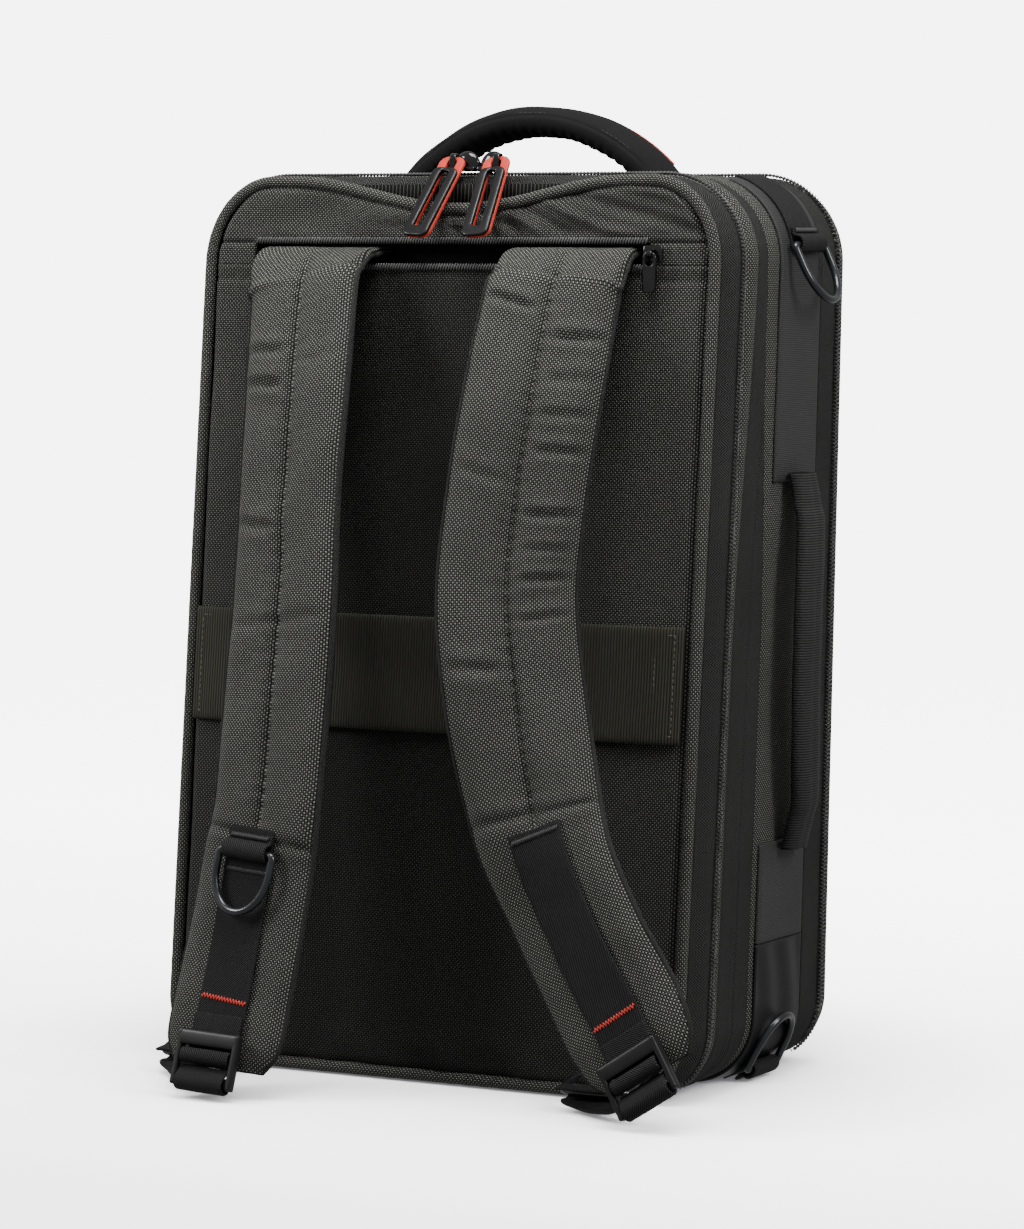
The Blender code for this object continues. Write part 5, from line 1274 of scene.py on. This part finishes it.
# Hooks: closed loops of dark coated wire between the adjuster and the base loop.
hook_metal = moulded("coated_wire", (0.006, 0.006, 0.007), (0.020, 0.021, 0.022), 0.20,
                     coat=0.3, depth=0)
for side, hook_bar in hook_bars.items():
    turn = circle(120)[0]
    x = HOOK_HALF * squared(np.cos(turn), 0.42)
    y = HOOK_REACH / 2 * (1 + squared(np.sin(turn), 0.42))
    x = x * (1 - 0.13 * (y / HOOK_REACH) ** 1.5)
    path = hook_bar + np.stack([x, y, HOOK_RISE * y / HOOK_REACH], -1)
    dress(pipe(side + "_hook_wire", path, HOOK_WIRE / 2, hook_metal, sides=16, closed=True,
               lead=(0, -0.3, 1)), "black_metal", side + "_hook")

# D-rings: bent and welded steel wire with a satin black finish, held by webbing tabs at two
# corners of the right side and by a webbing loop on the left strap. Each swings on its bar.
RING_WIRE = 3.8 * MM
RING_HALF = 18 * MM - RING_WIRE / 2
RING_LEG = 9 * MM
RING_BOW = 31 * MM - RING_WIRE / 2 - RING_LEG
RING_CORNER = 2.2 * MM
TAB_END = 9 * MM
RING_CLEAR = RING_WIRE / 2 + GAP * 1.5 + WEBBING_SHEET / 2
ring_metal = moulded("ring_steel", (0.010, 0.011, 0.013), (0.030, 0.033, 0.038), 0.26,
                     coat=0.25, depth=0, metal=0.3)


def even_loop(points, count):
    """A closed outline's points spread evenly along it."""
    dense = np.concatenate([points, points[:1]])
    run = run_along(dense)
    return read_along(np.linspace(0, run[-1], count, endpoint=False), run, dense)


def ring_path(bar, across, away, count=150):
    """A D: a straight bar with tight corners, two legs and a half-round bow."""
    corner = np.linspace(-math.pi / 2, 0, 7)
    bow = np.linspace(0, math.pi, 40)
    corner_x = RING_HALF - RING_CORNER + RING_CORNER * np.cos(corner)
    corner_y = RING_CORNER + RING_CORNER * np.sin(corner)
    x = np.concatenate([[RING_CORNER - RING_HALF, 0], corner_x, RING_HALF * np.cos(bow),
                        -corner_x[::-1]])
    y = np.concatenate([[0, 0], corner_y, RING_LEG + RING_BOW * np.sin(bow), corner_y[::-1]])
    x, y = even_loop(np.stack([x, y], -1), count).T
    return bar + across * x[:, None] + away * y[:, None]


def ring_tab(name, node, bar, along_in, off, across, first_layer):
    """The webbing that arrives along the surface, loops round the bar and is sewn back down."""
    clear = RING_CLEAR
    back = bar + off * (-clear + WEBBING_SHEET + GAP)
    path = list(first_layer) + [
        bar - off * clear, bar + (along_in - off) * clear * 0.71, bar + along_in * clear,
        bar + (off + along_in) * clear * 0.71, bar + off * clear,
        bar + off * clear * 0.75 - along_in * clear * 1.15,
        back - along_in * TAB_END * 0.62, back - along_in * TAB_END]
    tab = ribbon(name, path, across, TAB_WIDTH, WEBBING_SHEET, webbing_cloth, seed=73)
    dress(tab, "black_webbing", node)
    seat = back - along_in * 7.4 * MM + off * 0.75 * MM
    dress(zigzag(name + "_tack", seat, across, along_in, off, TAB_WIDTH * 0.86, 2.2 * MM, 24,
                 0.30 * MM, black_thread), "black_cloth", node)


def side_frame(s, depth, lift):
    """A point on the body's side with the ways along it and off it."""
    spot = on_body(s, depth, 0, lift)
    return spot, unit(on_body(s + MM, depth, 0, lift) - spot), unit(
        on_body(s, depth, 0, lift + MM) - spot)


PATCH_SHEET = 1.2 * MM
TAB_LEVEL = 2 * GAP + PATCH_SHEET + WEBBING_SHEET / 2
RING_DEPTH = 92 * MM
CORNER_RINGS = (
    # name, height, tilt, hanging down, lengths of the tab's run before the bar in mm
    ("upper", 404 * MM, 25, True, (46, 38, 31, 24, 17, 11, 4)),
    ("lower", 10.5 * MM, 27, False, (13, 9, 4)),
)
for prefix, z, tilt, hangs, run in CORNER_RINGS:
    stop = side_s(z)
    _, along, off = side_frame(stop, RING_DEPTH, TAB_LEVEL)
    bar = side_frame(stop, RING_DEPTH, TAB_LEVEL + RING_CLEAR)[0]
    arrive = -along if hangs else along
    sign = 1 if hangs else -1
    layer = [side_frame(stop + sign * length * MM, RING_DEPTH, TAB_LEVEL)[0] for length in run]
    ring_tab(prefix + "_ring_webbing", prefix + "_ring_tab", bar, arrive, off, Y_WAY, layer)
    tilt = math.radians(tilt)
    away = np.array([math.sin(tilt), 0, -math.cos(tilt) if hangs else math.cos(tilt)])
    ring = pipe(prefix + "_ring_wire", ring_path(bar, Y_WAY, away), RING_WIRE / 2,
                ring_metal, sides=18, closed=True, lead=(math.cos(tilt), 0, away[0]))
    dress(ring, "black_metal", prefix + "_ring", body=prefix + "_ring")

seat, wide, down, outward = strap_face("left", TAPES["left"][1] - 0.1, 0.0)
layer_lift = 2 * GAP + WEBBING_SHEET / 2
bar = seat + outward * (layer_lift + RING_CLEAR)
layer = [seat + outward * layer_lift - down * length for length in (12 * MM, 4 * MM)]
ring_tab("strap_ring_webbing", "strap_ring_loop", bar, down, outward, wide, layer)
away = unit(down + outward * math.tan(math.radians(4)))
dress(pipe("strap_ring_wire", ring_path(bar, wide, away), RING_WIRE / 2, ring_metal, sides=18,
           closed=True, lead=outward), "black_metal", "strap_ring", body="strap_ring")


# Zip sliders: die-cast bodies under a glossy black dome, with a lug for the puller's bar.
gloss_plastic = moulded("slider_enamel", (0.0030, 0.0030, 0.0030), (0.008, 0.008, 0.008), 0.10,
                        coat=0.35, depth=0, specular=0.3)
SLIDER_BASE = BODY_HEIGHT + 2.1 * MM + 2 * GAP
SLIDER_Y = body_y(19 * MM, BODY_HEIGHT)


def dome(name, centre, half, finish):
    """An ellipsoid cap that ends a little below its middle."""
    t = np.linspace(0.02, 0.55, 22)[:, None] * math.pi
    turn = circle(40)
    spots = np.stack([np.sin(t) * np.cos(turn), np.sin(t) * np.sin(turn), np.cos(t) + 0 * turn], -1)
    return surface(name, spots * half + centre, finish, caps=True)


# each slider: its lug's x, its puller's skew in degrees, and the way that its body points
PULL_BODIES = {"left": (-9.5 * MM, -5, 1), "right": (14.8 * MM, 6, -1)}
SLIDER_LENGTH = 13.2 * MM
LUG_FROM_END = 1.7 * MM
LUG_RADIUS = 2.3 * MM
pivots = {}
for side, (slider_x, skew, inward) in PULL_BODIES.items():
    pivot = np.array([slider_x, SLIDER_Y - 3.1 * MM, SLIDER_BASE + 6 * MM])
    pivots[side] = (pivot, skew)
    middle = np.array([slider_x + inward * (SLIDER_LENGTH / 2 - LUG_FROM_END), SLIDER_Y,
                       SLIDER_BASE])
    half_plate = X_WAY * SLIDER_LENGTH / 2
    low = middle + Z_WAY * 1.2 * MM
    plate = rounded_bar(side + "_slider_plate", low - half_plate, low + half_plate, Y_WAY, Z_WAY,
                        4.5 * MM, 1.2 * MM, gloss_plastic, power=5)
    cap = dome(side + "_slider_dome", middle + (0, 1.3 * MM, 1.6 * MM),
               (7.4 * MM, 3.6 * MM, 8.3 * MM), gloss_plastic)
    # The lug is a strap of metal bent over the puller's bar
    theta = np.linspace(-0.12, math.pi + 0.12, 26)
    lug_path = np.stack([np.full_like(theta, slider_x), pivot[1] - LUG_RADIUS * np.cos(theta),
                         pivot[2] + LUG_RADIUS * np.sin(theta)], -1)
    feet = np.array([[slider_x, pivot[1] + hand * LUG_RADIUS, SLIDER_BASE + 1 * MM]
                     for hand in (-1, 1)])
    lug = ribbon(side + "_slider_lug", np.concatenate([feet[:1], lug_path, feet[1:]]), X_WAY,
                 3.4 * MM, 1.0 * MM, gloss_plastic, count=50)
    for part in (plate, cap, lug):
        dress(part, "gloss_plastic", "slider_" + side)


# Pullers: a coral-red rubber core in a long slotted loop, its lower part capped with black.
red_rubber = moulded("red_rubber", (0.42, 0.030, 0.018), (0.58, 0.055, 0.034), 0.50, grain=700.0,
                     depth=0.03 * MM, specular=0.2)
puller_black = moulded("puller_rubber", (0.0035, 0.0035, 0.0035), (0.010, 0.010, 0.010), 0.30,
                       grain=900.0, depth=0.04 * MM, specular=0.3)


def long_loop(length, width, start, corner=0.75):
    """Evenly spaced outline of a rounded rectangle that runs along -y from y = start."""
    radius = width / 2 * corner
    turn = np.linspace(0, math.pi / 2, 13)
    spots = []
    for x, y, first in ((width / 2 - radius, start - radius, 0),
                        (-width / 2 + radius, start - radius, 90),
                        (-width / 2 + radius, start - length + radius, 180),
                        (width / 2 - radius, start - length + radius, 270)):
        angle = math.radians(first) + turn
        spots.append(np.stack([x + radius * np.cos(angle), y + radius * np.sin(angle)], -1))
    return even_loop(np.concatenate(spots), 96)


def turned(points, pivot, droop, skew):
    """Local points turned about Z by the skew, then about X by the droop, at the pivot."""
    a, b = math.radians(skew), math.radians(droop)
    x = points[..., 0] * math.cos(a) - points[..., 1] * math.sin(a)
    y = points[..., 0] * math.sin(a) + points[..., 1] * math.cos(a)
    z = points[..., 2]
    return np.stack([x, y * math.cos(b) - z * math.sin(b), y * math.sin(b) + z * math.cos(b)],
                    -1) + pivot


def slotted_plate(name, outer, inner, low, high, finish, pose, soft):
    """A flat ring between two outlines, its edges rounded by the soft radius."""
    start = int(np.argmin(np.linalg.norm(inner - outer[0], axis=1)))
    inner = np.roll(inner, -start, 0)
    toward = unit(inner - outer)
    turn = np.linspace(0, math.pi / 2, 5)
    side = [(soft * (1 - math.sin(a)), low + soft * (1 - math.cos(a))) for a in turn]
    side += [(soft * (1 - math.cos(a)), high - soft * (1 - math.sin(a))) for a in turn]
    rows = [(outer + toward * inward, z) for inward, z in side]
    rows += [(inner - toward * inward, z) for inward, z in side[::-1]]
    rows = [np.concatenate([flat, np.full((len(flat), 1), z)], 1) for flat, z in rows]
    return surface(name, pose(np.stack(rows, 1)), finish, along=True)


CORE_HALF = 0.9 * MM
PULLER_DROOP = 50.5
for side, (pivot, skew) in pivots.items():
    def pose(points, pivot=pivot, skew=skew):
        """The puller's points turned to lean on the bag's edge."""
        return turned(points, pivot, PULLER_DROOP, skew)

    core = slotted_plate(side + "_puller_red_core",
                         long_loop(50.2 * MM, 14.3 * MM, CORE_HALF, 0.62),
                         long_loop(42.2 * MM, 5.2 * MM, -CORE_HALF), -CORE_HALF, CORE_HALF,
                         red_rubber, pose, 0.45 * MM)
    dress(core, "red_rubber", "puller_" + side + "_core", body="puller_" + side)
    cover = slotted_plate(side + "_puller_black_cap",
                          long_loop(42.6 * MM, 13.9 * MM, -7.4 * MM, 0.5),
                          long_loop(34.4 * MM, 5.0 * MM, -9.6 * MM, 0.5), CORE_HALF, 3.1 * MM,
                          puller_black, pose, 0.8 * MM)
    dress(cover, "black_plastic", "puller_" + side, body="puller_" + side)


# The strap pocket's slider: a small enamelled body with a flat tab hanging from it.
PULL_X, PULL_Z = 110 * MM, 401 * MM
pull_pivot = panel_front(np.array(PULL_X), np.array(PULL_Z), 6.2 * MM)
slider_middle = np.array([PULL_X, pull_pivot[1] + 3.2 * MM, PULL_Z])
body_bar = rounded_bar("pocket_slider_body", slider_middle - X_WAY * 5 * MM,
                       slider_middle + X_WAY * 5 * MM, unit(np.array([0, BACK_LEAN, 1.0])), Y_WAY,
                       4 * MM, 1.0 * MM, gloss_plastic)
theta = np.linspace(0, math.pi, 20)
lug_y = pull_pivot[1] + 2.3 * MM - 4.0 * MM * np.sin(theta)
lug_path = np.stack([np.full_like(theta, PULL_X), lug_y, PULL_Z + 1.9 * MM * np.cos(theta)], -1)
lug_foot = Y_WAY * 0.8 * MM
lug_path = np.concatenate([lug_path[:1] + lug_foot, lug_path, lug_path[-1:] + lug_foot])
lug = ribbon("pocket_slider_lug", lug_path, X_WAY, 3.2 * MM, 0.7 * MM, gloss_plastic, count=44)
for part in (body_bar, lug):
    dress(part, "gloss_plastic", "pocket_slider")


def hang(points):
    """The flat pull's points turned to hang from its slider."""
    return turned(points, pull_pivot, 86, 0)


tab = slotted_plate("pocket_pull_tab", long_loop(19 * MM, 7 * MM, 0.65 * MM),
                    long_loop(5.2 * MM, 4.1 * MM, -0.65 * MM), -0.7 * MM, 0.7 * MM,
                    gloss_plastic, hang, 0.3 * MM)
dress(tab, "gloss_plastic", "pocket_pull", body="pocket_pull")

# Top handle: a padded arch of matt black neoprene-faced cloth, folded over and topstitched near
# its outer edge, puckered along its inner edge, with a thin coral-red piping at its far side.
handle_cloth = weave("handle_cloth", (0.0035, 0.0035, 0.0035), (0.020, 0.020, 0.020), 0.6 * MM,
                     0.10 * MM, rough=0.85)
HANDLE_Y = body_y(100 * MM, BODY_HEIGHT)
ARCH_HALF, ARCH_RISE = 66 * MM, 28 * MM
arch_radius = (ARCH_HALF ** 2 + ARCH_RISE ** 2) / (2 * ARCH_RISE)
arch_end = math.asin(ARCH_HALF / arch_radius)
swing = np.linspace(-arch_end * 1.12, arch_end * 1.12, 180)
off = np.stack([np.sin(swing), 0 * swing, np.cos(swing)], -1)
path = off * arch_radius + (0, HANDLE_Y, BODY_HEIGHT + GAP - arch_radius * math.cos(arch_end))
run = ((swing + arch_end * 1.12) * arch_radius)[:, None]
foot = np.clip(np.minimum(run, run[-1] - run) / (20 * MM), 0, 1)
turn = circle(72)
cos, sin = np.cos(turn), np.sin(turn)
scallop = np.sin(run / (6.2 * MM) * 2 * math.pi + 1.3 * np.sin(run * 60)) * 0.45 * MM
seam_groove = np.exp(-((sin - 0.35) / 0.10) ** 2) * 0.55 * MM
relief = (scallop * ramp(-sin, 0.1, 0.8) - seam_groove) * foot
relief = relief + wander(run, turn * 9 * MM, 24 * MM, 83) * 0.35 * MM
reach = squared(cos, 0.72) * 15 * MM + relief * cos
rise = squared(sin, 0.85) * 7.5 * MM + relief * sin
spots = path[:, None] + off[:, None] * rise[..., None] + Y_WAY * reach[..., None]
spots[..., 2] = np.maximum(spots[..., 2], BODY_HEIGHT + 0.1 * MM)
handle = surface("top_handle_cloth", spots, handle_cloth, caps=True, uv=(turn * 11 * MM, run))
dress(handle, "black_cloth", "top_handle")
edge = path + off * 5.6 * MM + Y_WAY * 12.6 * MM
edge = edge[int(len(edge) * 0.10):int(len(edge) * 0.93)]
dress(pipe("top_handle_red_piping", edge, 0.55 * MM, red_thread, sides=8), "red_rubber",
      "top_handle")
seam_line = path + off * 4.1 * MM - Y_WAY * 13.2 * MM
keep = slice(int(len(path) * 0.06), int(len(path) * 0.94))
dress(stitches("top_handle_stitches", seam_line[keep], off[keep], black_thread, pitch=2.8 * MM,
               thick=0.45 * MM), "black_cloth", "top_handle")


# Side patches: smooth satin nylon with fine ribs, sewn on over the side cloth. They hold the
# side handle's ends; black ones wrap the lower corners.
def ribbed(name, dark, light, pitch, depth, rough, along=True):
    """Fine parallel ribs across or along the cloth."""
    finish = Finish(name, rough=rough, specular=0.15)
    u, v = finish.cloth_place()
    rib = abs(((v if along else u) * (math.pi / pitch)).sin())
    cross = abs(((u if along else v) * (math.pi / (0.5 * MM))).sin())
    height = rib * (cross * 0.25 + 0.75)
    # Painted highlight: the ribs' tops are painted paler than their sides.
    finish.colour(finish.blend((height * finish.noise(10.0, 3.0, 0.7, 1.2)).clamp(), dark, light))
    finish.relief(height, depth)
    return finish


grey_satin = ribbed("grey_satin", (0.010, 0.010, 0.010), (0.040, 0.040, 0.0395), 0.9 * MM,
                    0.16 * MM, 0.5)
black_satin = ribbed("black_satin", (0.004, 0.004, 0.0045), (0.012, 0.012, 0.013), 0.8 * MM,
                     0.06 * MM, 0.36)


PATCH_BACK = 66 * MM
PATCH_WIDTH = 50 * MM
PATCH_FRONT = PATCH_BACK + PATCH_WIDTH
UPPER_FROM = 291 * MM
LOWER_FROM, LOWER_TO = 69 * MM, 117 * MM


def patch(name, node, slot, finish, s_from, s_to, seed, rows, fold=0.0):
    """A sheet on the body's side between two depths, with turned edges and slow waves."""
    s = np.linspace(s_from, s_to, rows)[:, None]
    d = np.linspace(PATCH_BACK, PATCH_FRONT, 44)[None, :]
    near = np.minimum(np.minimum(d - PATCH_BACK, PATCH_FRONT - d),
                      np.minimum(np.abs(s - s_from), np.abs(s - s_to)))
    edge = 1 - np.exp(-(near / (1.2 * MM)) ** 2)
    wave = wander(s, d, 45 * MM, seed) * 0.35 * MM
    folds = fold * np.sin((d - PATCH_BACK) / (23 * MM) * 2 * math.pi + 3 * np.sin(s * 30))
    lift = GAP + PATCH_SHEET + (wave + folds + 0.35 * MM) * edge
    outer = on_body(s, d, 0, lift)
    under = on_body(s, d, 0, 0 * lift - 0.3 * MM)[:, ::-1]
    sheet = surface(name, np.concatenate([outer, under], 1), finish, caps=True,
                    uv=(both_faces(d), s))
    return dress(sheet, slot, node)


upper_end = side_s(BODY_HEIGHT - TOP_RADIUS) + TOP_RADIUS * math.pi / 2 * 0.8
upper_patch = patch("side_patch_upper_cloth", "side_patch_upper", "smooth_cloth", grey_satin,
                    side_s(UPPER_FROM), upper_end, 91, 110)
lower_patch = patch("side_patch_lower_cloth", "side_patch_lower", "smooth_cloth", grey_satin,
                    side_s(LOWER_FROM), side_s(LOWER_TO), 93, 50)
base_from = BASE_HALF + GAP
base_to = side_s(LOWER_FROM - GAP)
right_base = patch("base_patch_right_cloth", "base_patch_right", "black_cloth", black_satin,
                   base_from, base_to, 95, 70, fold=0.4 * MM)
left_base = patch("base_patch_left_cloth", "base_patch_left", "black_cloth", black_satin,
                  2 * HALF_ROUND - base_to, 2 * HALF_ROUND - base_from, 97, 70, fold=0.4 * MM)
for sheet, length in ((upper_patch, upper_end - side_s(UPPER_FROM)),
                      (lower_patch, LOWER_TO - LOWER_FROM),
                      (right_base, base_to - base_from), (left_base, base_to - base_from)):
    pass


# Side handle: tubular ribbed webbing over a soft core, bowed off the side between the patches.
# share of the length, share of the base's depth, share of the bow, share of the width
SIDE_HANDLE = np.array((
    (0.00, 0.570, 0.00, 0.85), (0.08, 0.560, 0.45, 0.90), (0.20, 0.540, 0.90, 1.00),
    (0.40, 0.515, 1.00, 1.00), (0.60, 0.510, 1.00, 1.00), (0.80, 0.520, 0.90, 1.00),
    (0.92, 0.535, 0.45, 0.95), (1.00, 0.542, 0.00, 0.90)))
black_ribbed = ribbed("black_ribbed_webbing", (0.003, 0.003, 0.003), (0.030, 0.030, 0.029),
                      1.25 * MM, 0.40 * MM, 0.6)
even = np.linspace(0, 1, 200)
share, bow, wide_share = (smooth_path(np.stack([SIDE_HANDLE[:, 0], SIDE_HANDLE[:, k],
                                                0 * SIDE_HANDLE[:, 0]], -1), 200)[0]
                          for k in (1, 2, 3))
z = 113 * MM + 182 * MM * even
depth = np.interp(even, share[:, 0], share[:, 1]) * BASE_DEPTH
x = HALF_WIDTH + 6.3 * MM + 8 * MM * np.interp(even, bow[:, 0], bow[:, 1])
width = 23 * MM * np.interp(even, wide_share[:, 0], wide_share[:, 1])
centre = place_on_bag(x, depth, z)
turn = circle(56)
cos, sin = np.cos(turn), np.sin(turn)
reach = squared(cos, 0.75) * width[:, None] / 2
rise = squared(sin, 0.8) * 4.5 * MM
middle = np.exp(-(cos / 0.12) ** 2) * 0.35 * MM * (sin > 0)
puff = 1 + 0.05 * wander(z[:, None], turn * 12 * MM, 30 * MM, 101)
spots = centre[:, None] + X_WAY * ((rise - middle) * puff)[..., None] + Y_WAY * reach[..., None]
grip = surface("side_handle_webbing", spots, black_ribbed, caps=True,
               uv=(turn * 9 * MM, z[:, None]))
dress(grip, "black_cloth", "side_handle")


# Luggage band: dark olive ribbed webbing across the back panel, sewn at both ends with box
# stitches; the bag slides over a trolley's handle under it.
band_webbing = ribbed("band_webbing", (0.004, 0.004, 0.003), (0.040, 0.040, 0.029), 1.5 * MM,
                      0.45 * MM, 0.75, along=False)
BAND_TOP, BAND_HIGH = 225.5 * MM, 55.7 * MM
BAND_HALF = 136.4 * MM
x = np.linspace(-BAND_HALF, BAND_HALF, 170)[:, None]
t = np.linspace(0, 1, 40)[None, :]
z = BAND_TOP - BAND_HIGH * t
edge = np.exp(-((np.minimum(t, 1 - t) * BAND_HIGH) / (1.3 * MM)) ** 2) * 0.6 * MM
sewn = np.exp(-((BAND_HALF - np.abs(x)) / (7 * MM)) ** 2)
lift = GAP + 1.6 * MM + 1.0 * MM * (1 - sewn) - edge
lift = lift + wander(x, z, 55 * MM, 107) * 0.5 * MM * (1 - sewn)
outer = panel_front(x, z, lift)
under = panel_front(x, z, GAP + 0.4 * MM)[:, ::-1]
luggage = surface("luggage_band_webbing", np.concatenate([outer, under], 1), band_webbing,
                  caps=True, uv=(x, both_faces(z, 0.1)))
dress(luggage, "band_webbing", "luggage_band")
for name, x_from, x_to in (("left", -132, -122), ("right", 122, 132)):
    loop_x = np.array([x_from, x_to, x_to, x_from, x_from]) * MM
    loop_z = BAND_TOP - np.array([4, 4, 51.5, 51.5, 4]) * MM
    loop = read_along(np.linspace(0, 4, 200), np.arange(5), np.stack([loop_x, loop_z], -1))
    line = panel_front(*loop.T, GAP + 2.15 * MM)
    dress(stitches("luggage_band_stitches_" + name, line, (0, -1.0, 0.1), olive_thread),
          "band_webbing", "luggage_band")


# Front cover and its pocket: not in the photo, so finished as plain panels of the same nylon.
def front_depth(x, z):
    """Depth of the front cover's face, which bulges a little at its middle."""
    return BASE_DEPTH + crown(x, z, 5 * MM)


s = np.linspace(0, 2 * HALF_ROUND, 420, endpoint=False)[:, None]
RIM_INSET = 22 * MM
# the rim's rounding: depth and inset in mm
RIM = np.array([(140.1, 0.0), (146.0, 0.1), (153.4, 2.0), (158.0, 5.2), (160.9, 9.0),
                (163.4, 15.0), (165.0, 22.0)]) * MM
depth, inset = smooth_path(RIM, 22)[0].T
rim = on_body(s, depth[None, :], 0, -inset[None, :])
shares = np.linspace(1, 0.004, 38)[None, :]
edge_x, edge_z, nx, nz = outline(s)
face_x = (edge_x - nx * RIM_INSET) * shares
face_z = MIDDLE_Z + (edge_z - nz * RIM_INSET - MIDDLE_Z) * shares
bulge = front_depth(face_x, face_z) + wander(face_x, face_z, 80 * MM, 113) * 0.6 * MM - BASE_DEPTH
face = place_on_bag(face_x, BASE_DEPTH + bulge * ramp(1 - shares, 0, 0.1), face_z)
cover_points = np.concatenate([rim, face[:, 1:]], 1).transpose(1, 0, 2)
cover = surface("front_cover_cloth", cover_points, charcoal_weave, caps=True,
                uv=(cover_points[..., 0], cover_points[..., 2]))
dress(cover, "charcoal_cloth", "front_panel")

u = np.linspace(-1, 1, 80)[None, :]
v = np.linspace(0, 1, 76)[:, None]
x = u * 114 * MM + 0 * v
z = 62 * MM + 190 * MM * v + 0 * u
share = (1 - u ** 4) * (1 - (2 * v - 1) ** 4) * (1.15 - 0.45 * v)
swell = 17 * MM * share
lift = GAP + 2.8 * MM + swell + wander(x, z, 60 * MM, 119) * 0.8 * MM * share
inner_lift = np.minimum(lift - 2.4 * MM, GAP + 0.3 * MM + swell)
outer = place_on_bag(x, front_depth(x, z) + lift, z)
under = place_on_bag(x, front_depth(x, z) + inner_lift, z)
pocket = surface("front_pocket_cloth", np.concatenate([outer, under[:, ::-1]], 1), charcoal_weave,
                 caps=True, uv=(both_faces(x), both_faces(z)))
dress(pocket, "charcoal_cloth", "front_pocket")

# Base: a smooth black sheet between the corners' patches, which the bag stands on.
BASE_SHEET_HALF = 115.7 * MM
BASE_BACK, BASE_FRONT = 7.5 * MM, 156.7 * MM
x = np.linspace(-BASE_SHEET_HALF, BASE_SHEET_HALF, 60)[:, None]
y = np.linspace(body_y(BASE_BACK, 0), body_y(BASE_FRONT, 0), 50)[None, :]
wave = wander(x, y, 60 * MM, 127) * 0.15 * MM
top = np.stack(np.broadcast_arrays(x, y, 1.5 * MM), -1)
bottom = np.stack(np.broadcast_arrays(x, y, 0.25 * MM + np.abs(wave)), -1)
base = surface("base_cloth", np.concatenate([bottom, top[:, ::-1]], 1), black_satin, caps=True,
               uv=(x, both_faces(y)))
dress(base, "black_cloth", "base_panel")
